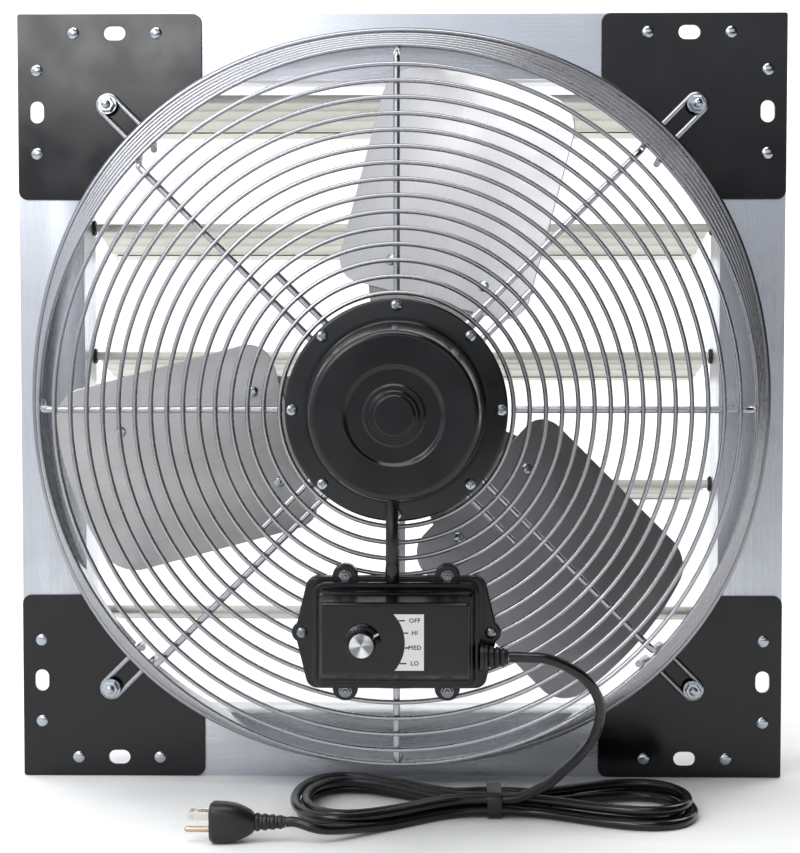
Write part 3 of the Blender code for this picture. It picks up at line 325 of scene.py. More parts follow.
def prism(outline, back, front):
    """An outline of (x, z) points between two depths."""
    return loft([[(x, -depth, z) for x, z in outline] for depth in (back, front)])


def side_prism(outline, left, right):
    """An outline of (y, z) points between two places along X."""
    return loft([[(x, y, z) for y, z in outline] for x in (left, right)])


def spun(profile, segments=96, closed=False, sharp=30.0):
    """Spin a profile of (radius, depth) points round Y."""
    bm = bmesh.new()
    verts = [bm.verts.new((radius, -depth, 0)) for radius, depth in profile]
    edges = [bm.edges.new(pair) for pair in zip(verts, verts[1:])]
    if closed:
        edges.append(bm.edges.new((verts[-1], verts[0])))
    bmesh.ops.spin(bm, geom=verts + edges, axis=(0, 1, 0), cent=(0, 0, 0), angle=math.tau,
                   steps=segments, use_merge=True)
    return made(bm, sharp)


def cylinder(radius, back, front, segments):
    return spun([(0, back), (radius, back), (radius, front), (0, front)], segments)


def chamfered(radius, low, high, edge):
    """Profile of a round bar or disc whose ends are chamfered."""
    return [(0, low), (radius - edge, low), (radius, low + edge), (radius, high - edge),
            (radius - edge, high), (0, high)]


def steps_from(base, *steps):
    """Points at small steps from a base, in tenths of a millimetre."""
    return [tuple(b + TENTH * s for b, s in zip(base, step)) for step in steps]


def arc(centre, radius, start, end, steps):
    """Points of a circular arc between two angles in degrees."""
    angles = [math.radians(start + (end - start) * k / steps) for k in range(steps + 1)]
    return [(centre[0] + radius * math.cos(a), centre[1] + radius * math.sin(a)) for a in angles]


def rounded_rectangle(width, height, radius, steps=8, centre=(0, 0)):
    outline = []
    for k, (right, up) in enumerate(((1, 1), (-1, 1), (-1, -1), (1, -1))):
        corner = (centre[0] + right * (width / 2 - radius), centre[1] + up * (height / 2 - radius))
        outline += arc(corner, radius, 90 * k, 90 * k + 90, steps)
    return outline


def filleted(corners, radius, steps=8):
    """A bent line through corners, with an arc at each inner one."""
    path = [corners[0]]
    for before, corner, after in zip(corners, corners[1:], corners[2:]):
        back = (before - corner).normalized()
        on = (after - corner).normalized()
        half = back.angle(on) / 2
        centre = corner + (back + on).normalized() * radius / math.sin(half)
        first = corner + back * radius / math.tan(half) - centre
        last = corner + on * radius / math.tan(half) - centre
        path += [centre + radius * first.slerp(last, k / steps) for k in range(steps + 1)]
    return path + [corners[-1]]


def smooth_curve(points, spacing):
    """Points at an even spacing along a smooth curve through the given ones."""
    points = [Vector(point) for point in points]
    ends = [2 * points[0] - points[1], *points, 2 * points[-1] - points[-2]]
    fine = []
    for a, b, c, d in zip(ends, ends[1:], ends[2:], ends[3:]):
        for k in range(40):
            t = k / 40
            fine.append(0.5 * (2 * b + (c - a) * t + (2 * a - 5 * b + 4 * c - d) * t * t
                               + (3 * b - a - 3 * c + d) * t ** 3))
    fine.append(points[-1])
    lengths = [0.0]
    for before, after in zip(fine, fine[1:]):
        lengths.append(lengths[-1] + (after - before).length)
    steps = max(2, round(lengths[-1] / spacing))
    path = []
    k = 0
    for step in range(steps + 1):
        wanted = lengths[-1] * step / steps
        while k < len(fine) - 2 and lengths[k + 1] < wanted:
            k += 1
        share = (wanted - lengths[k]) / (lengths[k + 1] - lengths[k])
        path.append(fine[k].lerp(fine[k + 1], share))
    return path


def line_curve(name, points, diameter, resolution=4, radii=None):
    """A round wire or cord along points, as a curve with filled ends."""
    curve = bpy.data.curves.new(name, "CURVE")
    curve.dimensions = "3D"
    curve.bevel_depth = diameter / 2
    curve.bevel_resolution = resolution
    curve.use_fill_caps = True
    spline = curve.splines.new("POLY")
    spline.points.add(len(points) - 1)
    for k, (point, co) in enumerate(zip(spline.points, points)):
        point.co = (*co, 1)
        point.radius = radii[k] if radii else 1.0
    spline.use_smooth = True
    return curve


def mesh_of(data, sharp=35.0):
    """The mesh of a curve or a word."""
    obj = bpy.data.objects.new("shape", data)
    mesh = bpy.data.meshes.new_from_object(obj)
    bpy.data.objects.remove(obj)
    bm = bmesh.new()
    bm.from_mesh(mesh)
    return made(bm, sharp)


def tube(points, diameter, resolution=4, radii=None):
    return mesh_of(line_curve("tube", points, diameter, resolution, radii))


def sheet_plate(outlines, back, front, edge):
    """A flat plate with rounded edges, between two depths: its outline first, then its holes."""
    curve = bpy.data.curves.new("plate", "CURVE")
    curve.dimensions = "2D"
    curve.fill_mode = "BOTH"
    curve.extrude = (front - back) / 2 - edge
    curve.bevel_depth = edge
    curve.bevel_resolution = 1
    curve.offset = -edge
    for outline in outlines:
        spline = curve.splines.new("POLY")
        spline.points.add(len(outline) - 1)
        for point, (x, z) in zip(spline.points, outline):
            point.co = (x, z, 0, 1)
        spline.use_cyclic_u = True
    mesh = mesh_of(curve, 18.0)
    mesh.transform(Matrix.Translation((0, -(back + front) / 2, 0)) @ ABOUT_X)
    return mesh


def joined(meshes, sharp=35.0):
    """Several closed shapes as one mesh."""
    bm = bmesh.new()
    for mesh in meshes:
        bm.from_mesh(mesh)
    return mesh_from(bm, sharp)


def moved(mesh, matrix):
    copy = mesh.copy()
    copy.transform(matrix)
    return copy


def turned(mesh, degrees_about_y):
    return moved(mesh, Matrix.Rotation(math.radians(degrees_about_y), 4, "Y"))


def shaped(base, tools=(), operation="DIFFERENCE", edge=0.0, sharp=20.0):
    """The base mesh joined with, or cut by, other meshes, with its sharp edges rounded off."""
    objects = [bpy.data.objects.new("shape", mesh) for mesh in (base, *tools)]
    for obj in objects:
        bpy.context.scene.collection.objects.link(obj)
    target = objects[0]
    for tool in objects[1:]:
        boolean = target.modifiers.new("shape", "BOOLEAN")
        boolean.object = tool
        boolean.operation = operation
    if edge:
        bevel = target.modifiers.new("edge", "BEVEL")
        bevel.width = edge
        bevel.segments = 2
        bevel.limit_method = "ANGLE"
        bevel.angle_limit = math.radians(40)
        bevel.use_clamp_overlap = True
    graph = bpy.context.evaluated_depsgraph_get()
    mesh = bpy.data.meshes.new_from_object(target.evaluated_get(graph))
    for obj in objects:
        bpy.data.objects.remove(obj, do_unlink=True)
    if edge:
        # Bevels leave faces without an area where they meet
        bm = bmesh.new()
        bm.from_mesh(mesh)
        bmesh.ops.dissolve_degenerate(bm, dist=1e-6, edges=bm.edges)
        bm.to_mesh(mesh)
        bm.free()
    return shaded(mesh, sharp)


def dress(name, mesh, material, body, *nodes, slot=None):
    """Set a finished mesh on a body, in the place of the CAD nodes that it stands for."""
    obj = bpy.data.objects.new(name, mesh)
    bpy.context.scene.collection.objects.link(obj)
    mesh.materials.clear()
    mesh.materials.append(material)
    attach(obj, body)
    if nodes:
        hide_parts(*nodes)
    return obj


def refinish(material, *nodes):
    """Give CAD parts that keep their shape a better finish."""
    for node in nodes:
        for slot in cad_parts[node].material_slots:
            slot.material = material


# Node trees

def feed(tree, node, inputs):
    """Set or link a node's inputs by their name or number."""
    for key, value in inputs.items():
        if isinstance(value, bpy.types.NodeSocket):
            tree.links.new(value, node.inputs[key])
        else:
            node.inputs[key].default_value = value


def add(tree, kind, inputs=None, **settings):
    """Add a node with its settings and inputs."""
    node = tree.nodes.new(kind)
    for field, value in settings.items():
        setattr(node, field, value)
    feed(tree, node, inputs or {})
    return node


def new_tree(name, sockets):
    """A geometry tree with named inputs, and its way in."""
    tree = bpy.data.node_groups.new(name, "GeometryNodeTree")
    for label, kind in [("Geometry", "Geometry"), *sockets, ("Material", "Material")]:
        tree.interface.new_socket(label, in_out="INPUT", socket_type=f"NodeSocket{kind}")
    tree.interface.new_socket("Geometry", in_out="OUTPUT", socket_type="NodeSocketGeometry")
    return tree, add(tree, "NodeGroupInput").outputs


def close_tree(tree, geometry, material):
    """End a tree in real geometry with its finish on it."""
    real = add(tree, "GeometryNodeRealizeInstances", {"Geometry": geometry})
    done = add(tree, "GeometryNodeSetMaterial", {"Geometry": real.outputs[0], "Material": material})
    add(tree, "NodeGroupOutput", {"Geometry": done.outputs[0]})


def wire_rings_tree():
    """Wire rings round Y, from a first to a last radius and place, at even steps."""
    tree, way = new_tree("Wire rings", [
        ("Rings", "Int"), ("First Radius", "Float"), ("Last Radius", "Float"), ("First Place", "Float"),
        ("Last Place", "Float"), ("Wire Radius", "Float"), ("Around", "Int"), ("Across", "Int")])
    points = add(tree, "GeometryNodePoints", {"Count": way["Rings"]})
    last = add(tree, "ShaderNodeMath", {0: way["Rings"], 1: 1.0}, operation="SUBTRACT")
    share = add(tree, "ShaderNodeMath", {0: add(tree, "GeometryNodeInputIndex").outputs[0],
                                         1: last.outputs[0]}, operation="DIVIDE")
    radius, place = [add(tree, "ShaderNodeMapRange", {
        "Value": share.outputs[0], "To Min": way[f"First {size}"], "To Max": way[f"Last {size}"]}).outputs[0]
        for size in ("Radius", "Place")]
    spot = add(tree, "ShaderNodeCombineXYZ", {"Y": place})
    along = add(tree, "GeometryNodeSetPosition", {"Geometry": points.outputs[0],
                                                  "Position": spot.outputs[0]})
    circle = add(tree, "GeometryNodeCurvePrimitiveCircle", {"Resolution": way["Around"], "Radius": 1.0})
    rings = add(tree, "GeometryNodeInstanceOnPoints", {
        "Points": along.outputs[0], "Instance": circle.outputs[0], "Rotation": (math.pi / 2, 0, 0),
        "Scale": radius})
    lines = add(tree, "GeometryNodeRealizeInstances", {"Geometry": rings.outputs[0]})
    even = add(tree, "GeometryNodeSetCurveRadius", {"Curve": lines.outputs[0], "Radius": 1.0})
    section = add(tree, "GeometryNodeCurvePrimitiveCircle", {"Resolution": way["Across"],
                                                             "Radius": way["Wire Radius"]})
    wire = add(tree, "GeometryNodeCurveToMesh", {"Curve": even.outputs[0],
                                                 "Profile Curve": section.outputs[0]})
    round_wire = add(tree, "GeometryNodeSetShadeSmooth", {"Geometry": wire.outputs[0]})
    close_tree(tree, round_wire.outputs[0], way["Material"])
    return tree


def heads_tree():
    """A head on each point, turned to face along the point's own direction."""
    tree, way = new_tree("Heads", [("Head", "Object")])
    facing = add(tree, "GeometryNodeInputNamedAttribute", {"Name": "facing"}, data_type="FLOAT_VECTOR")
    turn = add(tree, "FunctionNodeAlignRotationToVector", {"Vector": facing.outputs[0]}, axis="Z")
    head = add(tree, "GeometryNodeObjectInfo", {"Object": way["Head"]})
    heads = add(tree, "GeometryNodeInstanceOnPoints", {
        "Points": way["Geometry"], "Instance": head.outputs["Geometry"], "Rotation": turn.outputs[0]})
    close_tree(tree, heads.outputs[0], way["Material"])
    return tree


def grown(maker, base, settings):
    """The plain mesh that a node tree makes from a base mesh, with its named inputs set."""
    tree = maker()
    obj = bpy.data.objects.new("seed", base)
    bpy.context.scene.collection.objects.link(obj)
    modifier = obj.modifiers.new("grown", "NODES")
    modifier.node_group = tree
    for item in tree.interface.items_tree:
        if item.in_out == "INPUT" and item.name in settings:
            modifier[item.identifier] = settings[item.name]
    graph = bpy.context.evaluated_depsgraph_get()
    mesh = bpy.data.meshes.new_from_object(obj.evaluated_get(graph))
    obj.modifiers.remove(modifier)
    bpy.data.objects.remove(obj, do_unlink=True)
    bpy.data.node_groups.remove(tree)
    return mesh


def wire_rings(rings, radii, places, wire, material, around):
    settings = {"Rings": rings, "First Radius": radii[0], "Last Radius": radii[1],
                "First Place": places[0], "Last Place": places[1], "Wire Radius": wire / 2,
                "Around": around, "Across": 10, "Material": material}
    return grown(wire_rings_tree, bpy.data.meshes.new("seed"), settings)


def heads_on(spots, head, material):
    """One mesh with a head on each (point, facing) spot. The head itself faces +Z."""
    base = bpy.data.meshes.new("spots")
    base.from_pydata([tuple(point) for point, _ in spots], [], [])
    facing = base.attributes.new("facing", "FLOAT_VECTOR", "POINT")
    for k, (_, direction) in enumerate(spots):
        facing.data[k].vector = direction
    template = bpy.data.objects.new("head", head)
    bpy.context.scene.collection.objects.link(template)
    mesh = grown(heads_tree, base, {"Head": template, "Material": material})
    bpy.data.objects.remove(template, do_unlink=True)
    return mesh


def fasten(name, spots, head, key, body, *nodes, slot):
    """A head on each spot, as one piece."""
    return dress(name, heads_on(spots, head, finish(key)), finish(key), body, *nodes, slot=slot)


def head_shape(parts, sharp=30.0):
    """A head made of spun (profile, segments) parts of (radius, height) points, facing +Z."""
    shapes = [spun(profile, segments, sharp=sharp) for profile, segments in parts]
    return moved(joined(shapes, sharp), ABOUT_X.inverted())


def dome(radius, height):
    """Profile of a rivet's domed head, with a small flat foot."""
    rise = [(radius * math.cos(a), height * (0.18 + 0.82 * math.sin(a)))
            for a in [math.radians(9 * k) for k in range(11)]]
    return [(0, -0.0002), (radius, -0.0002), *rise]


def hexagon(across, low, high):
    """Profile of a hexagon with a chamfered top, for a spin of six segments."""
    radius = across / math.sqrt(3)
    top = high - 0.12 * (high - low)
    return [(0, low), (radius, low), (radius, top), (0.86 * radius, high), (0, high)]


def washer(radius, low, high):
    return chamfered(radius, low, high, (high - low) / 4)


def cross_head(radius, height):
    """A pan head with a cross recess, facing +Z."""
    pan = [(0, -0.0004), (radius, -0.0004), (radius, 0.2 * height), (0.93 * radius, 0.55 * height),
           (0.78 * radius, 0.82 * height), (0.5 * radius, 0.96 * height), (0, height)]
    head = head_shape([(pan, 36)], 12.0)
    across, arm = 1.1 * radius, 0.26 * radius
    cuts = []
    for wide, deep in ((across, arm), (arm, across)):
        outline = [(sx * wide / 2, sy * deep / 2) for sx, sy in ((-1, -1), (1, -1), (1, 1), (-1, 1))]
        cuts.append(loft([[(0.55 * x, 0.55 * y, 0.35 * height) for x, y in outline],
                          [(x, y, 1.2 * height) for x, y in outline]]))
    return shaped(head, cuts, sharp=14.0)


def thread(radius, low, high, pitch):
    """Profile of a screw's end, with a ridge for each turn of the thread."""
    ridges = max(1, round((high - low) / pitch))
    profile = [(0, low)]
    for k in range(ridges):
        start = low + (high - low) * k / ridges
        profile += [(0.86 * radius, start), (radius, start + pitch / 2)]
    return profile + [(0.8 * radius, high), (0, high)]


# Finishes

def blank(name):
    """A new material with its tree and its shader."""
    material = bpy.data.materials.new(name)
    material.use_nodes = True
    return material, material.node_tree, material.node_tree.nodes["Principled BSDF"]


def about(tone, spread):
    """A colour a little darker than a tone, and one a little lighter."""
    return (*[c * (1 - spread) for c in tone], 1), (*[min(1, c * (1 + spread)) for c in tone], 1)


def grained_metal(name, tone, roughness, grain, streak=0.16, relief=0.012, coordinates="Object"):
    """Bare metal with a grain, whose size along each axis is in mm.

    The grain shows as light and dark streaks with a slow drift over them, and it spreads the gloss.
    """
    material, tree, shader = blank(name)
    place = add(tree, "ShaderNodeTexCoord").outputs[coordinates]
    stretch = add(tree, "ShaderNodeMapping", {"Vector": place, "Scale": [1 / (size * MM) for size in grain]})
    lines = add(tree, "ShaderNodeTexNoise", {"Vector": stretch.outputs[0], "Scale": 1.0, "Detail": 4.0,
                                             "Roughness": 0.6})
    drift = add(tree, "ShaderNodeTexNoise", {"Vector": place, "Scale": 1 / (55 * MM), "Detail": 2.0})
    both = add(tree, "ShaderNodeMath", {0: lines.outputs[0], 1: drift.outputs[0]}, operation="ADD")
    share = add(tree, "ShaderNodeMapRange", {"Value": both.outputs[0], "From Min": 0.65, "From Max": 1.35})
    dark, light = about(tone, streak)
    tint = add(tree, "ShaderNodeMix", {0: share.outputs[0], 6: dark, 7: light}, data_type="RGBA")
    gloss = add(tree, "ShaderNodeMapRange", {"Value": share.outputs[0], "To Min": roughness + 0.09,
                                             "To Max": roughness - 0.07})
    bump = add(tree, "ShaderNodeBump", {"Height": lines.outputs[0], "Strength": 0.35,
                                        "Distance": relief * MM})
    feed(tree, shader, {"Base Color": tint.outputs[2], "Roughness": gloss.outputs[0],
                        "Normal": bump.outputs[0], "Metallic": 1.0})
    return material


def coated(name, tone, roughness, peel, relief, specular=0.5, ior=1.5, spread=0.12):
    """Enamel or moulding with a skin, whose bumps are so many mm wide and high.

    The skin breaks up the gloss a little, and a slow drift in tone keeps large faces from looking flat.
    """
    material, tree, shader = blank(name)
    place = add(tree, "ShaderNodeTexCoord").outputs["Object"]
    skin = add(tree, "ShaderNodeTexNoise", {"Vector": place, "Scale": 1 / (peel * MM), "Detail": 3.0})
    drift = add(tree, "ShaderNodeTexNoise", {"Vector": place, "Scale": 1 / (38 * MM), "Detail": 3.0})
    share = add(tree, "ShaderNodeMapRange", {"Value": drift.outputs[0], "From Min": 0.35, "From Max": 0.65})
    dark, light = about(tone, spread)
    tint = add(tree, "ShaderNodeMix", {0: share.outputs[0], 6: dark, 7: light}, data_type="RGBA")
    gloss = add(tree, "ShaderNodeMapRange", {"Value": share.outputs[0], "To Min": roughness - 0.03,
                                             "To Max": roughness + 0.06})
    bump = add(tree, "ShaderNodeBump", {"Height": skin.outputs[0], "Strength": 0.4, "Distance": relief * MM})
    feed(tree, shader, {"Base Color": tint.outputs[2], "Roughness": gloss.outputs[0],
                        "Normal": bump.outputs[0], "Specular IOR Level": specular, "IOR": ior})
    return material


def turned_inlay(name, tone):
    """Aluminium disc turned on a lathe: fine rings, and light and dark sectors of painted reflection round
    its middle.
    """
    material, tree, shader = blank(name)
    box = bpy.context.scene.fan_box
    place = add(tree, "ShaderNodeTexCoord").outputs["Object"]
    level = add(tree, "ShaderNodeMapping", {"Vector": place, "Location": (-box.knob_x, 0, -box.middle)})
    flat = add(tree, "ShaderNodeMapping", {"Vector": level.outputs[0],
                                           "Rotation": (-math.pi / 2, 0, math.radians(20))})
    sector = add(tree, "ShaderNodeTexGradient", {"Vector": flat.outputs[0]}, gradient_type="RADIAL")
    # Painted reflection: three light sectors round the disc, where a turned disc catches the light
    wave = add(tree, "ShaderNodeMath", {0: sector.outputs[1], 1: 3 * math.tau}, operation="MULTIPLY")
    light = add(tree, "ShaderNodeMath", {0: wave.outputs[0]}, operation="COSINE")
    # Turning marks of 0.3 mm, drawn at twice their width so that they show
    marks = add(tree, "ShaderNodeTexWave", {"Vector": level.outputs[0], "Scale": 1 / (0.6 * MM) / 20,
                                            "Distortion": 0.4}, wave_type="RINGS", rings_direction="Y")
    share = add(tree, "ShaderNodeMapRange", {"Value": light.outputs[0], "From Min": -0.8, "From Max": 0.9},
                interpolation_type="SMOOTHSTEP")
    tint = add(tree, "ShaderNodeMix", {0: share.outputs[0], 6: (*[c * 0.28 for c in tone], 1),
                                       7: (*tone, 1)}, data_type="RGBA")
    bump = add(tree, "ShaderNodeBump", {"Height": marks.outputs[1], "Strength": 0.3, "Distance": 0.01 * MM})
    feed(tree, shader, {"Base Color": tint.outputs[2], "Normal": bump.outputs[0], "Metallic": 1.0,
                        "Roughness": 0.24})
    return material


# Metals: a tone, a roughness, the grain's size along each axis in mm, the streaks' share of the tone, the
# grain's relief in mm, and the coordinates that it follows
METALS = {
    # Extruded aluminium: die lines run with the length, and the gloss is soft
    "extrusion_across": ("flange", 0.28, (260, 3, 1.1), 0.10),
    "extrusion_upright": ("flange", 0.28, (1.1, 3, 260), 0.13),
    # Bright zinc plate: bluish, small glints
    "bright_zinc": ("zinc", 0.16, (2.5, 2.5, 2.5), 0.05, 0.001),
    # Zinc with painted shade: the small nuts of the box, darker and softer than the bright zinc
    "stained_zinc": ("#7C7F82", 0.22, (2.5, 2.5, 2.5), 0.05, 0.001),
    # Spun aluminium: marks run round the ring, so light runs along it in bands
    "spun_ring_sheet": ("ring", 0.20, (400, 1.3, 400), 0.10, 0.001),
    # Dull zinc on drawn wire: mid grey with a narrow light line along each wire
    "dull_zinc_wire": ("wire", 0.27, (12, 12, 12), 0.05, 0.001),
    # Drawn steel rod: brighter than the guard
    "drawn_steel_rod": ("rod", 0.24, (12, 12, 12), 0.04, 0.001),
    # Ground steel: shaft and bearings, bright with fine rings
    "ground_shaft_steel": ("#C4C4C6", 0.22, (60, 0.8, 60), 0.10, 0.006),
    # Stacked electrical steel: dark edges of the sheets
    "lamination_stack": ("#7D7A76", 0.5, (80, 1.0, 80), 0.3, 0.03),
    # Rolled sheet: the grain runs along the blade, with a soft mirror across it
    "rolled_blade_sheet": ("blade", 0.33, (70, 1.0, 1.0), 0.09, 0.008, "UV"),
    # Cast metal: grey and rough
    "cast_spider": ("spider", 0.46, (3, 3, 3), 0.16, 0.04),
    # Drawn aluminium bar: pale, with lines along it
    "bar_aluminium": ("#C8C8CA", 0.36, (1.2, 1.2, 200), 0.12),
    # Nickel plate: warm white, small scratches along the prong
    "nickel_plate": ("nickel", 0.20, (14, 0.7, 0.7), 0.10, 0.006),
    # Pale brass: the same scratches, a pinkish gold
    "pin_brass": ("#C7AE9E", 0.24, (14, 0.7, 0.7), 0.10, 0.006),
}
# Coats: a tone, a roughness, the width and height of the skin's bumps in mm, the specular level, the IOR,
# and the drift's share of the tone
COATS = {
    # Baked gloss enamel: near black, a sharp gloss with a faint orange peel
    "gloss_black_enamel": ("plate", 0.15, 2.4, 0.004, 0.40),
    # Satin enamel on steel: soft broad highlights
    "satin_black_enamel": ("motor", 0.20, 1.8, 0.002, 0.42),
    # Cream enamel on slats: even, with a low gloss
    "cream_enamel": ("slat", 0.42, 2.0, 0.010, 0.45, 1.5, 0.04),
    # Painted shade: a dark brown strip on each slat, where the lip's bend throws its shadow under the cream
    "seal_brown": ("#4A413B", 0.6, 1.0, 0.01, 0.3),
    # Nylon: black with a waxy gloss
    "bush_nylon": ("#161616", 0.38, 1.0, 0.010, 0.5, 1.53),
    # Moulded plastic: black, a fine spark texture
    "moulded_black": ("box", 0.20, 0.9, 0.002, 0.38),
    # Moulded plastic of the switch: dull grey
    "switch_grey": ("#4C4C4D", 0.5, 0.9, 0.01),
    # Printed plate: matt white
    "printed_white": ("dial", 0.36, 1.5, 0.004, 0.4, 1.5, 0.02),
    # Printing ink: black and dull
    "dial_ink": ("#101010", 0.45, 0.8, 0.004, 0.3),
    # Soft vinyl: black, a wet gloss
    "vinyl_jacket": ("cord", 0.20, 3.0, 0.020, 0.45),
    # Moulded vinyl of the plug: a softer gloss than the cord's
    "moulded_plug": ("#161617", 0.34, 0.8, 0.004, 0.45),
    # Backdrop paper: white without a gloss
    "studio_paper": ("#F4F4F3", 0.75, 3.0, 0.005, 0.1, 1.45, 0.01),
}


def finish(key):
    """The named finish, made when it is first asked for. Its tone is a hex colour or one of Finishes."""
    known = bpy.data.materials.get(key)
    if known:
        return known
    if key == "turned_inlay":
        return turned_inlay(key, srgb("#DADADB"))
    maker, table = (grained_metal, METALS) if key in METALS else (coated, COATS)
    tone, *settings = table[key]
    tone = srgb(tone) if tone.startswith("#") else getattr(bpy.context.scene.fan_finishes, tone)
    return maker(key, tone, *settings)


# Stage

def build_stage(size):
    """Seamless paper under and behind the fan, soft studio light, and the photograph's camera."""
    scene = bpy.context.scene
    scene.view_settings.view_transform = "Standard"
    camera = bpy.data.cameras.new("camera")
    camera.lens = size.lens
    camera.sensor_width = 36
    eye = bpy.data.objects.new("camera", camera)
    eye.location = (size.camera_x, size.camera_y, size.camera_z)
    eye.rotation_euler = (math.pi / 2 - size.tilt, 0, size.pan)
    scene.collection.objects.link(eye)
    scene.camera = eye

    floor = FLOOR_Z - 4 * TENTH
    front, back, bend, top, half = -4.2, 2.6, 0.7, 3.4, 4.5
    section = [(front, floor), *arc((back, floor + bend), bend, -90, 0, 16), (back + bend, top)]
    bm = bmesh.new()
    rows = [[bm.verts.new((x, y, z)) for y, z in section] for x in (-half, half)]
    for k in range(len(section) - 1):
        bm.faces.new((rows[0][k], rows[1][k], rows[1][k + 1], rows[0][k + 1]))
    mesh = bpy.data.meshes.new("studio_paper")
    bm.to_mesh(mesh)
    bm.free()
    mesh.shade_smooth()
    mesh.materials.append(finish("studio_paper"))
    paper = bpy.data.objects.new("studio_paper", mesh)
    scene.collection.objects.link(paper)

    # Name, power, place, aim, width and height of each light
    lights = (
        ("key", size.key, (-0.62, -2.1, 0.74), (-0.29, 0, 0.29), 0.5, 0.5),
        ("top", size.top, (-0.1, -0.9, 2.1), (0, -0.3, 0), 1.5, 1.5),
        ("fill", size.fill, (-1.5, -2.0, 1.7), (0, -0.2, -0.3), 1.2, 1.2),
        ("paper_left", size.back, (-1.7, 1.5, 2.0), (0.3, 2.7, 0.0), 1.6, 1.6),
        ("paper_right", size.back, (1.7, 1.5, 2.0), (-0.3, 2.7, 0.0), 1.6, 1.6),
    )
    for name, power, place, aim, wide, high in lights:
        lamp = bpy.data.lights.new(name, "AREA")
        lamp.energy = power
        lamp.shape = "RECTANGLE"
        lamp.size = wide
        lamp.size_y = high
        obj = bpy.data.objects.new(name, lamp)
        obj.location = place
        obj.rotation_euler = (Vector(aim) - Vector(place)).to_track_quat("-Z", "Y").to_euler()
        scene.collection.objects.link(obj)

    # A bright cool wall on the left and a bright band over the camera that ends towards the right, in a
    # dark warm room
    world = bpy.data.worlds.new("studio")
    world.use_nodes = True
    tree = world.node_tree
    look = add(tree, "ShaderNodeSeparateXYZ", {0: add(tree, "ShaderNodeTexCoord").outputs["Generated"]})
    side, over, under, reach = [
        add(tree, "ShaderNodeMapRange", {"Value": look.outputs[axis], "From Min": start, "From Max": end},
            interpolation_type="SMOOTHSTEP").outputs[0]
        for axis, start, end in (("X", 0.25, -0.35), ("Z", 0.04, 0.13), ("Z", 0.55, 0.30), ("X", 0.68, 0.18))]
    height = add(tree, "ShaderNodeMath", {0: over, 1: under}, operation="MULTIPLY").outputs[0]
    band = add(tree, "ShaderNodeMath", {0: height, 1: reach}, operation="MULTIPLY").outputs[0]
    bright = add(tree, "ShaderNodeMath", {0: side, 1: band}, operation="MAXIMUM").outputs[0]
    wall = add(tree, "ShaderNodeMix", {0: bright, 6: (*size.dark_side, 1), 7: (*size.bright_side, 1)},
               data_type="RGBA")
    rise = add(tree, "ShaderNodeMapRange", {"Value": band, "To Min": 1.0, "To Max": 1.4})
    feed(tree, tree.nodes["Background"], {"Color": wall.outputs[2], "Strength": rise.outputs[0]})
    scene.world = world


# Frame

def slot_outline(size, centre, along_x):
    wide, high = (size.slot_length, size.slot_width) if along_x else (size.slot_width, size.slot_length)
    return rounded_rectangle(wide, high, size.slot_width / 2 - 1e-5, 8, centre)


def swollen(mesh, swell, share=lambda depth: 1.0):
    """Draw a round mesh out towards the panel's corners, and in at the sides, by a share at each depth."""
    for vert in mesh.vertices:
        angle = math.atan2(vert.co.z, vert.co.x)
        out = Vector((math.cos(angle), 0, math.sin(angle)))
        vert.co -= share(-vert.co.y) * swell * math.cos(4 * angle) * out


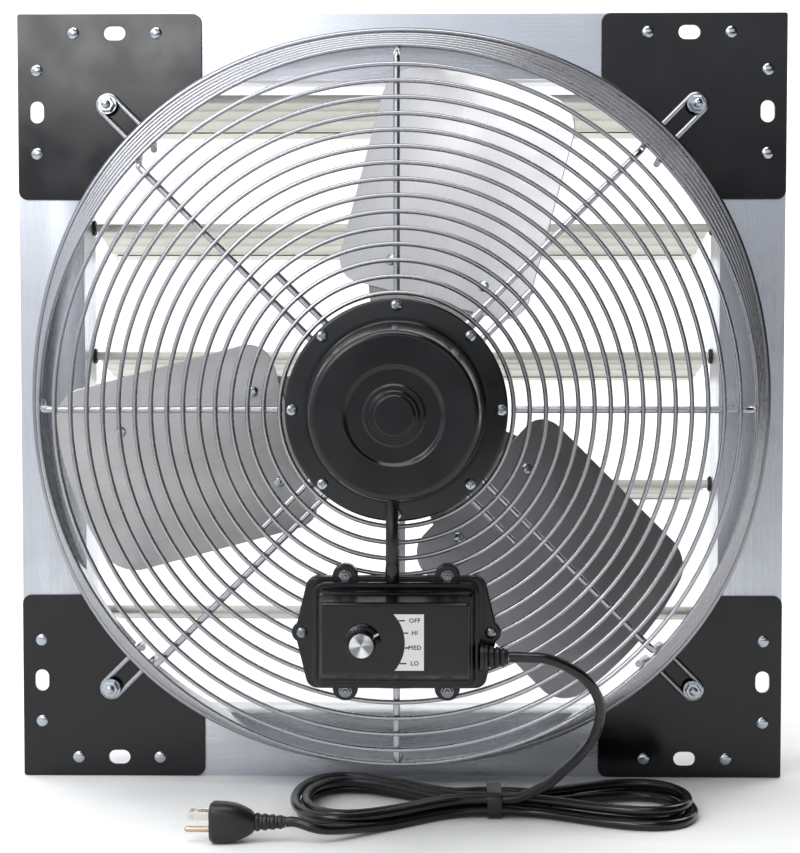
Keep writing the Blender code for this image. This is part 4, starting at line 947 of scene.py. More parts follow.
def build_frame(size, shutter):
    """Mitred angle extrusions, corner plates with their rivets and bolts, and the sheet ring."""
    half = size.opening / 2
    sheet = size.sheet
    across = HALF_PANEL - size.slot_along
    slots = [prism(slot_outline(size, (x, HALF_PANEL - size.slot_in), True), -FLANGE_T, 2 * FLANGE_T)
             for x in (-across, across)]
    bush_hole = shutter.pin + GAP + BUSH_WALL + GAP
    mitre = 0.75 * GAP
    for k, name in enumerate(("top", "right", "bottom", "left")):
        sleeve = size.sill if name == "bottom" else size.sleeve
        profile = [(half, -sleeve), (half, FLANGE_T), (HALF_PANEL, FLANGE_T), (HALF_PANEL, 0),
                   (half + sheet, 0), (half + sheet, -sleeve)]
        side = loft([[(end * (r - mitre), -depth, r) for r, depth in profile] for end in (-1, 1)])
        cuts = list(slots)
        if name in ("right", "left"):
            hand = -1 if name == "right" else 1
            for n in range(shutter.slats):
                z = shutter.top - shutter.spacing * n
                place = Matrix.Translation((hand * z, shutter.pivot, half + sheet / 2))
                cuts.append(moved(cylinder(bush_hole, -3 * sheet, 3 * sheet, 32), place @ ABOUT_X))
        mesh = turned(shaped(side, cuts, edge=0.0003), 90 * k)
        grain = "extrusion_across" if name in ("top", "bottom") else "extrusion_upright"
        dress(f"extrusion_{name}", mesh, finish(grain), HOUSING, f"frame_{name}", slot="mill_aluminium")

    inner = HALF_PANEL - size.plate
    near, far, turn = inner + size.plate_round, HALF_PANEL - size.plate_round, size.plate_round
    clear = 0.001
    bore = size.ring + size.ring_sheet + clear
    # The angle at which the swollen bore meets the plate's inner edge, closer with each round
    low = math.asin(inner / bore)
    for _ in range(8):
        low = math.asin(inner / (bore - size.swell * math.cos(4 * low)))
    mouth = []
    steps = 24
    for k in range(steps + 1):
        angle = math.pi / 2 - low - (math.pi / 2 - 2 * low) * k / steps
        reach = bore - size.swell * math.cos(4 * angle)
        mouth.append((reach * math.cos(angle), reach * math.sin(angle)))
    tip = 0.002
    outer = HALF_PANEL - tip
    outline = [*arc((outer, outer), tip, 0, 90, 4), *arc((near, far), turn, 90, 180, 8), *mouth,
               *arc((far, near), turn, 270, 360, 8)]
    along, edge = HALF_PANEL - size.slot_along, HALF_PANEL - size.slot_in
    holes = [slot_outline(size, (along, edge), True), slot_outline(size, (edge, along), False)]
    plate = sheet_plate([outline, *holes], PLATE_BACK, PLATE_FRONT, edge=0.0004)
    corners = ("tr", "br", "bl", "tl")
    for k, corner in enumerate(corners):
        dress(f"gusset_{corner}", turned(plate, 90 * k), finish("gloss_black_enamel"), HOUSING,
              f"corner_plate_{corner}", slot="black_plate")

    rivets = []
    for k in range(4):
        turn_y = Matrix.Rotation(math.pi / 2 * k, 3, "Y")
        for place in (size.rivet_near, size.rivet_far):
            for x, z in ((HALF_PANEL - place, edge), (edge, HALF_PANEL - place)):
                rivets.append((turn_y @ Vector((x, -PLATE_FRONT, z)), FRONT))
    head = head_shape([(dome(size.rivet, height=0.0024), 28)])
    fasten("gusset_rivets", rivets, head, "bright_zinc", HOUSING, slot="zinc")

    # The bolt's head behind the plate, its shank, then a washer, a nut and the bolt's end over the strut
    guard = bpy.context.scene.fan_guard
    back = PLATE_BACK - GAP
    foot = PLATE_FRONT + 2 * GAP + guard.strut
    nut = foot + 0.002
    shank = 0.003
    head = head_shape([
        (hexagon(0.0105, back - 0.004, back), 6),
        ([(0, back), (shank, back), (shank, foot), (0, foot)], 24),
        (washer(0.0086, foot, nut), 40),
        (hexagon(0.0128, nut + 0.0001, nut + 0.0058), 6),
        (steps_from((0, nut), (0, 50), (40, 50), (40, 85), (36, 96), (26, 103), (12, 106), (0, 107)), 24)])
    at = size.bolt_circle * math.sqrt(0.5)
    spots = [((x, 0, z), FRONT) for x in (-at, at) for z in (-at, at)]
    fasten("corner_bolts", spots, head, "bright_zinc", HOUSING,
           *[f"corner_bolt_{corner}" for corner in corners], slot="zinc")

    lip = arc((size.ring + size.lip, RING_FRONT - size.lip), size.lip, 180, -75, 18)
    skin = size.ring + size.ring_sheet
    profile = [(size.ring, RING_BASE), (size.ring, RING_FRONT - 3 * size.lip), *lip,
               (skin, RING_FRONT - 2.5 * size.lip), (skin, RING_BASE)]
    ring = spun(profile, 180, closed=True)
    swollen(ring, size.swell)
    # Notches that let the struts through
    play = 0.003
    wide = guard.strut_pair + guard.strut + play
    deep = PLATE_FRONT + GAP + 1.5 * guard.strut + guard.strut_bend
    hole = prism(rounded_rectangle(size.ring / 4, wide, 0.004, 6, (size.ring, 0)), -0.01, deep)
    notches = [turned(hole, 45 + 90 * k) for k in range(4)]
    dress("ring_sheet", shaped(ring, notches), finish("spun_ring_sheet"), HOUSING, "venturi_ring",
          slot="spun_aluminium")


# Guard and struts

def side_slope(size):
    """Slope of the guard's side along its rods, where the swollen rings are drawn in."""
    swell = bpy.context.scene.fan_frame.swell
    return (size.back_radius - swell - size.front_radius) / (size.side_front - size.side_back)


def inside_side(size, depth, inset):
    """Radius of a line that runs at a distance inside the guard's side."""
    slope = side_slope(size)
    return size.front_radius + (size.side_front - depth) * slope - inset * math.hypot(1, slope)


def build_guard(size):
    """Wire rings of the face and the side, and the four rods that they are welded to."""
    wire = finish("dull_zinc_wire")
    face = wire_rings(size.face_rings, (size.face_first, size.face_last),
                      (-size.face_depth, -size.face_depth), size.wire, wire, 128)
    dress("guard_face_rings", face, wire, HOUSING, "guard_face", slot="grey_wire")
    side = wire_rings(size.side_rings, (size.front_radius, size.back_radius),
                      (-size.side_front, -size.side_back), size.wire, wire, 160)
    # The side's rings are round at the face and take the sheet ring's own shape towards the back
    run = size.side_front - size.side_back
    swollen(side, bpy.context.scene.fan_frame.swell, lambda depth: (size.side_front - depth) / run)
    dress("guard_side_rings", side, wire, HOUSING, "guard_side", slot="grey_wire")
    inset = size.wire / 2 + size.rod / 2 - size.weld
    depth = size.face_depth - inset
    end = size.side_back - size.rod
    corners = [Vector((size.face_first - size.wire / 2, -depth, 0)),
               Vector((inside_side(size, depth, inset), -depth, 0)),
               Vector((inside_side(size, end, inset), -end, 0))]
    rod = tube(filleted(corners, size.rod_bend), size.rod)
    rods = joined([turned(rod, 90 * k) for k in range(4)])
    dress("guard_rods", rods, wire, HOUSING, "guard_face", "guard_side", slot="grey_wire")


def build_struts(size, frame_size, motor):
    """Four bent rods: each hooks a motor screw, runs out and back along the guard, and hooks a bolt."""
    half = size.strut_pair / 2
    inset = size.wire / 2 + GAP + size.strut / 2
    depth = size.face_depth - inset
    foot = PLATE_FRONT + GAP + size.strut / 2

    front = inside_side(size, size.side_front, inset)
    landing = frame_size.ring + frame_size.swell - size.strut_clear - size.strut / 2
    slope = (landing - front) / (size.side_front - foot)

    def corner(at, across):
        return Vector((front + (size.side_front - at) * slope, -at, across))

    inner = [Vector((u, -depth, v)) for u, v in arc((motor.screw_circle, 0), half, -90, -270, 18)]
    outer = [Vector((u, -foot, v)) for u, v in arc((frame_size.bolt_circle, 0), half, 90, -90, 18)]
    long_leg = [inner[-1], corner(depth, half), corner(foot, half), outer[0]]
    short_leg = [outer[-1], corner(foot, -half), corner(size.side_front + size.strut, -half)]
    path = [Vector((motor.screw_circle + size.strut_stub, -depth, -half)), *inner]
    path += filleted(long_leg, size.strut_bend)[1:-1] + outer + filleted(short_leg, size.strut_bend)[1:]
    rod = tube(path, size.strut)
    for k, name in enumerate(("tr", "tl", "bl", "br")):
        dress(f"carrier_rod_{name}", turned(rod, -45 - 90 * k), finish("drawn_steel_rod"), HOUSING,
              f"strut_{name}", slot="steel_rod")


# Motor

def build_motor(size):
    """Motor flange and tapered housing, the flange's screws, and what is inside."""
    black = finish("satin_black_enamel")
    pocket = 0.0163
    edge = size.flange_edge
    front = MOTOR_FRONT
    # The flange's rim leans back a little, so its top catches the light from above
    lean = 0.0013
    rim = front - lean - edge
    flat = 0.0733
    round_off, beside = 0.001, 0.0005
    flange = [(pocket, MOTOR_SEAT), (pocket, front - round_off), (pocket + round_off, front),
              (flat - beside, front), (flat, front), (size.flange - edge - beside, front - lean),
              *arc((size.flange - edge, rim), edge, 84, 0, 8),
              *arc((size.flange - round_off, MOTOR_SEAT + round_off), round_off, 0, -90, 4)]
    dress("motor_end_plate", spun(flange, 160, closed=True, sharp=16), black, HOUSING, "motor_flange",
          slot="black_cast")
    end = HOUSING_BACK + size.body
    inside = end - 0.010
    bore = size.front - 0.005
    shoulder = (size.front - size.edge, end - size.edge)
    groove = end - 0.002
    # Short flats beside each step keep the shading of the flat faces level
    wall = 0.005
    profile = [(0, inside), (pocket, inside), (pocket, inside - wall), (pocket + wall, inside - wall),
               (pocket + wall, inside - GAP), (bore, inside - GAP), (bore, HOUSING_BACK),
               *steps_from((size.rear, HOUSING_BACK), (6, 0), (11, 6), (11, 22), (4, 32), (-3, 36), (-5, 60)),
               (size.front + 0.0004, end - size.edge - 0.0016), *arc(shoulder, size.edge, 4, 90, 14),
               (shoulder[0] - 0.0006, end),
               *steps_from((size.groove, end), (32, 0), (24, -2), (17, -7), (9, -14)),
               *steps_from((size.groove, groove), (3, 2), (-5, 0), (-11, 0)),
               *steps_from((size.nose, groove), (62, 0), (56, 0), (51, 3), (44, 9), (38, 10), (32, 10),
                           (14, 10), (9, 12), (-1, 22), (-6, 24), (-12, 24), (-22, 24), (-27, 26), (-34, 33),
                           (-40, 35), (-46, 35)),
               (0, groove + 0.0035)]
    dress("motor_shell", spun(profile, 160, sharp=14), black, HOUSING, "motor_housing", slot="black_cast")

    angles = [math.tau * k / size.screws for k in range(size.screws)]
    spots = [((size.screw_circle * math.cos(a), lean - front, size.screw_circle * math.sin(a)), FRONT)
             for a in angles]
    screw = cross_head(radius=0.0047, height=0.0034)
    fasten("motor_screws", spots, screw, "bright_zinc", HOUSING, slot="zinc")

    shaft = spun(chamfered(size.shaft, *depths("motor_shaft"), edge=0.0008), 40)
    dress("wheel_shaft", shaft, finish("ground_shaft_steel"), WHEEL, "motor_shaft", slot="ground_steel")
    refinish(finish("ground_shaft_steel"), "bearing_rear", "bearing_front")
    refinish(finish("lamination_stack"), "motor_stator", "motor_rotor")


# Wheel

def blade_point(size, out, across, lift):
    """A point of a blade that points along +X: across runs clockwise, towards the room."""
    bulge = size.camber * (1 - (2 * across / size.chord) ** 2) + lift
    depth = size.depth + across * math.sin(size.pitch) + bulge * math.cos(size.pitch)
    return Vector((out, -depth, -across * math.cos(size.pitch) + bulge * math.sin(size.pitch)))


def curved_plate(size, outs, acrosses, lift, thickness, steps):
    """A plate on the blade's curve, with a UV map in metres. Outs gives the two ends of each strip."""
    bm = bmesh.new()
    map_layer = bm.loops.layers.uv.new("sheet")
    where = {}
    faces = []
    grids = []
    for level in (lift, lift + thickness):
        grid = []
        for across, (start, end) in zip(acrosses, outs):
            row = []
            for k in range(steps + 1):
                out = start + (end - start) * k / steps
                vert = bm.verts.new(blade_point(size, out, across, level))
                where[vert] = (out, across)
                row.append(vert)
            grid.append(row)
        grids.append(grid)
        for row, following in zip(grid, grid[1:]):
            for k in range(steps):
                faces.append((row[k], following[k], following[k + 1], row[k + 1]))
    rims = []
    for grid in grids:
        ends = [row[-1] for row in grid[1:]]
        starts = [row[0] for row in grid[1:-1]]
        rims.append(grid[0] + ends + list(reversed(grid[-1][:-1])) + list(reversed(starts)))
    for k in range(len(rims[0])):
        after = (k + 1) % len(rims[0])
        faces.append((rims[0][k], rims[0][after], rims[1][after], rims[1][k]))
    for corners in faces:
        face = bm.faces.new(corners)
        for loop in face.loops:
            loop[map_layer].uv = where[loop.vert]
    return made(bm)


def build_wheel(size):
    """Pitched paddle blades, the spider that carries them, and the rivets between."""
    strips = 36
    half = size.chord / 2 - 1e-4
    acrosses = [-half * math.cos(math.pi * k / strips) for k in range(strips + 1)]
    outs = []
    for across in acrosses:
        past = abs(across) - (size.chord / 2 - size.corner)
        drop = size.corner - math.sqrt(size.corner ** 2 - max(past, 0) ** 2)
        swept = across * math.cos(size.pitch)
        outs.append((size.root + drop, math.sqrt(size.tip ** 2 - swept ** 2) - drop))
    blade = shaped(curved_plate(size, outs, acrosses, 0, size.sheet, 24), edge=0.0004)
    turns = [-math.degrees(size.angle) - 360 / size.blades * k for k in range(size.blades)]
    for k, turn in enumerate(turns):
        dress(f"paddle_{k + 1}", turned(blade, turn), finish("rolled_blade_sheet"), WHEEL, f"blade_{k + 1}",
              slot="blade_aluminium")

    strips = 20
    widths = [size.arm_width * (k / strips - 0.5) for k in range(strips + 1)]
    start = size.arm_root / size.arm_width
    flare = [max(0, 2 * abs(width) / size.arm_width - start) for width in widths]
    spread = [(size.hub / 2 + (size.arm_end - size.hub) * share, size.arm_end) for share in flare]
    arm = curved_plate(size, spread, widths, -GAP - size.arm, size.arm, 16)
    back = size.depth - size.hub_length / 2
    front = back + size.hub_length
    bore, edge = 0.00665, 0.0015
    hub = spun([(bore, back), (bore, front), (size.hub - edge, front), (size.hub, front - edge),
                (size.hub, back + edge), (size.hub - edge, back)], 64, closed=True)
    spider = shaped(hub, [turned(arm, turn) for turn in turns], "UNION")
    spider = shaped(spider, [cylinder(bore, 0, 2 * front, 64)])
    dress("wheel_spider", spider, finish("cast_spider"), WHEEL, "fan_spider", slot="spider")

    spots = []
    for k, turn in enumerate(turns):
        turn_y = Matrix.Rotation(math.radians(turn), 3, "Y")
        places = [(0.115, -0.039), (0.113, 0.049)]
        if k == 1:
            # A rivet near the tip of one blade balances the wheel
            places.append((0.228, 0.045))
        for out, across in places:
            here = blade_point(size, out, across, size.sheet)
            aside = blade_point(size, out, across + 0.001, size.sheet) - here
            normal = aside.cross(Vector((1, 0, 0))).normalized()
            if normal.y > 0:
                normal = -normal
            spots.append((turn_y @ here, turn_y @ normal))
            behind = here - normal * (size.sheet + GAP + size.arm)
            spots.append((turn_y @ behind, turn_y @ -normal))
    head = head_shape([(dome(size.rivet, height=0.0022), 24)])
    fasten("blade_rivets", spots, head, "bright_zinc", WHEEL, slot="zinc")


# Shutter

def build_shutter(size, frame_size):
    """Ribbed slats on end pins in nylon bushes, and the bar that ties them."""
    half = size.sheet / 2
    low = -size.chord
    outline = arc((0, 0), size.bead, -77, 257, 20)
    for k in range(1, 4):
        z = low * k / 4
        rib = [(half + size.rib * (0.5 + 0.5 * math.cos(math.pi * s / 4)), z - 0.9 * size.rib * s)
               for s in range(-4, 5)]
        outline += [(-y, z) for y, z in rib]
    lip = 3 * size.sheet
    outline += [(-half, low), (lip, low), (lip, low + size.sheet), (half, low + size.sheet)]
    head_back = frame_size.opening / 2 - GAP
    clear = 0.0005
    slat_end = head_back - BUSH_HEAD - clear
    pin_end = frame_size.opening / 2 + frame_size.sheet
    pin = moved(spun(chamfered(size.pin, -pin_end, pin_end, edge=0.0004), 24), ABOUT_Z)
    beside = size.bar / 2 + clear
    lug_end = Vector((0, -size.lug_out, size.lug_up))
    aside = Vector((0, -size.lug_up, -size.lug_out)).normalized()
    turn = math.degrees(math.atan2(lug_end.z, lug_end.y))
    lug_round, lug_sheet = 0.0035, 0.0025
    lug_outline = [*arc((lug_end.y, lug_end.z), lug_round, turn - 90, turn + 90, 10),
                   *[(p.y, p.z) for p in (lug_round * aside, -lug_round * aside)]]
    lug = side_prism(lug_outline, beside, beside + lug_sheet)
    stub = moved(cylinder(0.0012, -beside - 0.001, beside + lug_sheet / 2, 20),
                 Matrix.Translation(lug_end) @ ABOUT_Z)
    slat = shaped(side_prism(outline, -slat_end, slat_end), [pin, lug, stub], "UNION", edge=0.0002)
    slat.transform(Matrix.Rotation(size.opened, 4, "X"))
    heights = [size.top - size.spacing * k for k in range(size.slats)]
    # Painted shade: a thin dark strip along each slat at the lip's bend, where its shadow falls
    line = [(y - half, z + 0.82 * low) for y, z in arc((0, 0), 0.0009, 90, 270, 8)]
    shade_strip_end = slat_end - 0.004
    shade_strip = side_prism(line, -shade_strip_end, shade_strip_end)
    shade_strip.transform(Matrix.Rotation(size.opened, 4, "X"))
    for k, z in enumerate(heights, 1):
        place = Matrix.Translation((0, size.pivot, z))
        dress(f"slat_{k}", moved(slat, place), finish("cream_enamel"), f"louver_{k}", f"louver_{k}",
              slot="cream_slat")
        dress(f"slat_seal_{k}", moved(shade_strip, place), finish("seal_brown"), f"louver_{k}")

    bore = size.pin + GAP
    collar = bore + BUSH_WALL
    brim = collar + 0.0025
    edge = 0.0007
    foot = -frame_size.sheet - GAP
    profile = [(bore, BUSH_HEAD), (bore, foot), (collar, foot), (collar, 0), (brim, 0),
               (brim, BUSH_HEAD - edge), (brim - edge, BUSH_HEAD)]
    bush = moved(spun(profile, 36, closed=True), ABOUT_X.inverted())
    spots = [((hand * head_back, size.pivot, z), (-hand, 0, 0)) for z in heights for hand in (-1, 1)]
    names = [f"louver_bush_{k + 1}_{hand}" for k in range(size.slats) for hand in ("left", "right")]
    fasten("pivot_bushes", spots, bush, "bush_nylon", HOUSING, *names, slot="black_nylon")

    c, s = math.cos(size.opened), math.sin(size.opened)
    first = (size.pivot - size.lug_out * c - size.lug_up * s, size.top - size.lug_out * s + size.lug_up * c)
    run = size.spacing * (size.slats - 1)
    side = size.bar / 2
    end = 0.004
    outline = [*arc((0, end - side), side, 0, 180, 12), *arc((0, side - run - end), side, 180, 360, 12)]
    bar = prism(outline, -side, side)
    hole = cylinder(0.0018, -2 * side, 2 * side, 24)
    holes = [moved(hole, Matrix.Translation((0, 0, -size.spacing * k)) @ ABOUT_Z) for k in range(size.slats)]
    mesh = moved(shaped(bar, holes, edge=0.0004), Matrix.Translation((0, *first)))
    dress("shutter_bar", mesh, finish("bar_aluminium"), "tie_bar", "tie_bar", slot="tie_aluminium")


# Speed control

def build_box(size):
    """Speed control box: back plate, stepped cover, nuts and screws, knob, dial and words."""
    black = finish("moulded_black")
    lift = Matrix.Translation((0, 0, size.middle))
    half_w, half_h = size.plate_width / 2, size.plate_height / 2
    corner = (half_w - 0.003 - size.corner, half_h - size.corner)
    right = [*arc((half_w, 0), size.side, 4, 60, 8), *arc(corner, size.corner, 15, 90, 8),
             *arc((size.ear_x, half_h), size.ear, 0, 180, 20)]
    upper = right + [(-x, z) for x, z in reversed(right)]
    outline = upper + [(-x, -z) for x, z in upper]
    base = sheet_plate([outline], BASE_BACK, BASE_FRONT, edge=0.0012)
    # A low rim that the cover stands in
    rim = sheet_plate([rounded_rectangle(size.width + 0.0065, size.height + 0.0055, size.corner, 8)],
                      BASE_FRONT - 0.0002, BASE_FRONT + 0.0014, edge=0.0006)
    base = joined([base, rim], 18.0)
    dress("box_back_plate", moved(base, lift), black, HOUSING, "control_box_base", slot="black_moulding")

    def loops(rows):
        found = []
        for side, up, down, depth in rows:
            outline = rounded_rectangle(size.width - 2 * side, size.height - up - down,
                                        max(0.0015, size.corner - side), 8, (0, (down - up) / 2))
            found.append([(x, -COVER_BACK - depth, z) for x, z in outline])
        return found

    def even(inset, depth):
        return inset, inset, inset, depth

    def rounding(inset, depth, radius, angles):
        """Rows of an edge's rounding that ends at a depth."""
        return [even(inset + radius * (1 - math.cos(a)), depth - radius + radius * math.sin(a))
                for a in angles]

    # Each row is an inset at the sides, the top and the bottom, and a depth. Two crisp steps lead to the
    # face, which sits a little high
    deep = COVER_FRONT - COVER_BACK
    low, mid = size.shoulder - 0.0045, size.shoulder + 0.0085
    side, border = (size.width - size.top_width) / 2, (size.height - size.top_height) / 2
    top, bottom = border - 0.0026, border + 0.0040
    neck = 0.0056
    first_edge, second_edge = 0.0016, 0.0014
    turns = (0.26, 0.52, 0.79, 1.05, 1.31, 1.57)
    rows = [even(0, 0), even(0, low - first_edge), *rounding(0, low, first_edge, turns), even(0.0024, low),
            even(0.0032, low + 0.0001), even(0.0036, low + 0.0006), even(0.0042, low + 0.0016),
            even(neck, mid - second_edge), *rounding(neck, mid, second_edge, turns[:4]),
            (0.0068, 0.0076, 0.0080, mid + 0.0004),
            *steps_from((side, top, bottom, deep), (-16, -22, -30, -22), (-10, -14, -18, -10),
                        (-3, -5, -7, -2), (6, 6, 6, 0), (14, 14, 14, 0))]
    wall = 0.003
    hollow = [(side + wall, top + wall, bottom + wall, deep - wall), even(neck + wall, mid - wall),
              even(wall, low - wall), even(wall, 0)]
    shell = loft(loops(hollow + rows), sharp=14)
    shaft_hole = moved(cylinder(0.0035, COVER_BACK, 2 * COVER_FRONT, 24),
                       Matrix.Translation((size.knob_x, 0, 0)))
    cover = shaped(shell, [shaft_hole], sharp=14.0)
    dress("box_cover", moved(cover, lift), black, HOUSING, "control_box_cover", slot="black_moulding")
    refinish(finish("switch_grey"), "speed_switch")

    # The box's nuts and screws wear zinc with painted shade, darker than the other fastenings
    nut = head_shape([(washer(0.0052, -0.0002, 0.0010), 36), (hexagon(0.0076, 0.0008, 0.0048), 6),
                      (thread(0.0021, 0.0046, 0.0066, 0.0008), 20)])
    spots = [((x, -BASE_FRONT, size.middle + z), FRONT)
             for x in (-size.ear_x, size.ear_x) for z in (-half_h - 0.0022, half_h)]
    fasten("clamp_nuts", spots, nut, "stained_zinc", HOUSING, slot="zinc")
    screw = steps_from((0, 0), (0, -2), (46, -2), (46, 8), (40, 20), (24, 27), (12, 28), (10, 14), (0, 14))
    spots = [((x, -BASE_FRONT, size.middle), FRONT) for x in (-half_w, half_w)]
    fasten("cover_screws", spots, head_shape([(screw, 32)]), "stained_zinc", HOUSING, slot="zinc")

    knob_back = COVER_FRONT + GAP
    skirt = knob_back + 0.0032
    top = knob_back + size.knob_length
    at = Matrix.Translation((size.knob_x, 0, size.middle))
    flutes, around = 30, 240
    # Radius and depth of each row, and how deep its flutes are
    outline = [(0.0034, knob_back, 0), *steps_from((size.skirt, knob_back, 0), (-6, 0, 0), (0, 6, 0)),
               *steps_from((size.skirt, skirt, 0), (0, -12, 0), (-11, -1, 0)),
               *steps_from((size.knob, skirt, 0), (3, 2, 0), (1, 8, 5)),
               *steps_from((size.knob, top, 0), (-3, -12, 5), (-7, -4, 0), (-12, 0, 0)),
               (0.0094, top, 0), (0.0093, top - 0.0004, 0)]
    rows = []
    for radius, depth, cut in outline:
        row = []
        for k in range(around):
            angle = math.tau * k / around
            r = radius - cut * (0.5 - 0.5 * math.cos(flutes * angle))
            row.append((r * math.cos(angle), -depth, r * math.sin(angle)))
        rows.append(row)
    dress("knob_grip", moved(loft(rows, sharp=40), at), black, KNOB, "speed_knob", slot="black_moulding")
    inlay = spun(steps_from((0, top), (0, -6), (91, -6), (91, -0.5), (88, 1), (0, 1)), 64)
    dress("knob_inlay", moved(inlay, at), finish("turned_inlay"), KNOB)
    pointer = sheet_plate([rounded_rectangle(0.0072, 0.0016, 0.0005, 4, (0.0110, 0))], skirt - 0.0012,
                          skirt + 0.0006, edge=0.0002)
    pointer.transform(Matrix.Rotation(math.radians(-30), 4, "Y"))
    dress("knob_pointer", moved(pointer, at), finish("printed_white"), KNOB)

    low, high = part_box("dial_plate")
    rise, fall = high.z - size.middle, low.z - size.middle
    start = math.degrees(math.asin(rise / size.dial_radius))
    end = math.degrees(math.asin(fall / size.dial_radius))
    rim = arc((size.knob_x, 0), size.dial_radius, start, end, 32)
    face = -low.y
    plate = sheet_plate([[(high.x, fall), (high.x, rise), *rim]], -high.y, face, edge=0.00015)
    dress("dial_face", moved(plate, lift), finish("printed_white"), HOUSING, "dial_plate", slot="dial_white")
    ink = []
    thin, bold, sunk = 0.00002, 0.00026, 0.00017
    # Angle of each setting from the knob, its word and the length of its mark
    for angle, word, mark in ((30, "OFF", 0.0048), (13, "HI", 0.0032), (-6, "MED", 0.0029),
                              (-27, "LO", 0.0050)):
        z = (size.dial_radius + 0.0018) * math.sin(math.radians(angle))
        x = size.knob_x + math.sqrt(size.dial_radius ** 2 - z ** 2) + 0.0002
        tick = sheet_plate([rounded_rectangle(mark, 0.0010, 0.0001, 2, (mark / 2, 0))], 0, TENTH, TENTH / 10)
        ink.append(moved(tick, Matrix.Translation((x, -face, z))))
        text = bpy.data.curves.new("word", "FONT")
        text.body = word
        text.size = 0.0046
        text.space_character = 1.12
        text.align_x = text.align_y = "CENTER"
        text.extrude = thin
        text.bevel_depth = bold
        text.bevel_resolution = 0
        text.resolution_u = 4
        ink.append(moved(mesh_of(text), Matrix.Translation((high.x - 0.0070, sunk - face, z)) @ ABOUT_X))
    dress("dial_words", moved(joined(ink), lift), finish("dial_ink"), HOUSING)


# Leads

# The supply cord as it hangs from its grip, and where it comes down on the floor
DROP_ROUTE = (
    (0.122, -0.262, -0.1935),
    (0.148, -0.252, -0.210),
    (0.161, -0.236, -0.234),
    (0.158, -0.216, -0.262),
    (0.146, -0.197, -0.284),
)
HANK_END = (0.130, -0.182, -0.303)
HANK_LANDING = ((0.1165, -0.1715, -0.3150), (0.0995, -0.1625, -0.3248))
# The tied hank: its middle, the half widths of its two lobes and of its waist, and how these run together
HANK_MIDDLE = (0.080, -0.140)
HANK_LEFT = 0.083
HANK_RIGHT = 0.060
HANK_WAIST = 0.0168
HANK_SOFT = 0.2
HANK_FLAT = 0.14
HANK_SWELL = 2.8


def right_end(node):
    """Middle of a CAD part's right end."""
    low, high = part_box(node)
    return Vector((high.x, (low.y + high.y) / 2, (low.z + high.z) / 2))


def hank_point(size, turn):
    """Centre of the cord after so many turns: inwards in the lower layer, outwards in the upper."""
    angle = math.tau * turn - math.pi / 2
    c, s = math.cos(angle), math.sin(angle)
    inwards = size.step * min(turn, size.turns - turn)
    lobe = math.hypot(max(0, abs(c) - HANK_FLAT), HANK_SOFT) - HANK_SOFT
    half = HANK_LEFT if c < 0 else HANK_RIGHT
    x = (size.reach - inwards) * c
    y = s * (HANK_WAIST - inwards + HANK_SWELL * (half - inwards) * lobe)
    climb = min(1, max(0, 2 * (turn - size.turns / 2) + 0.5))
    layer = size.step * climb * climb * (3 - 2 * climb)
    lift = (size.band_sheet + GAP) / (1 + (x / (2 * size.band)) ** 4)
    return Vector((HANK_MIDDLE[0] + x, HANK_MIDDLE[1] + y, FLOOR_Z + size.cord / 2 + layer + lift))


def cord_path(size):
    """The supply cord from the grip, down to the floor, round its tied hank and into the plug."""
    start = right_end("cord_grip") + Vector((GAP, 0, 0))
    plug = right_end("plug_body") + Vector((GAP, 0, 0))
    end = Vector(HANK_END)
    landing = (end - Vector(DROP_ROUTE[-1])).normalized()
    straight = start + Vector((size.cord, 0, 0))
    fine = 0.004
    per_turn = 96
    turns = [hank_point(size, size.turns - k / per_turn) for k in range(size.turns * per_turn)]
    off = [hank_point(size, -k / per_turn) for k in range(9)]
    drop = smooth_curve([start, straight, *DROP_ROUTE, end - landing * size.cord, end + landing * size.cord,
                         *HANK_LANDING, turns[0]], fine)
    out = [plug + Vector((4 * size.cord, 0, 0)), plug + Vector((size.cord, 0, 0)), plug]
    out[0].z = (plug.z + FLOOR_Z + size.cord / 2) / 2
    tail = smooth_curve([off[-1], *out], fine)
    return drop[:-1] + turns + off[:-1] + tail


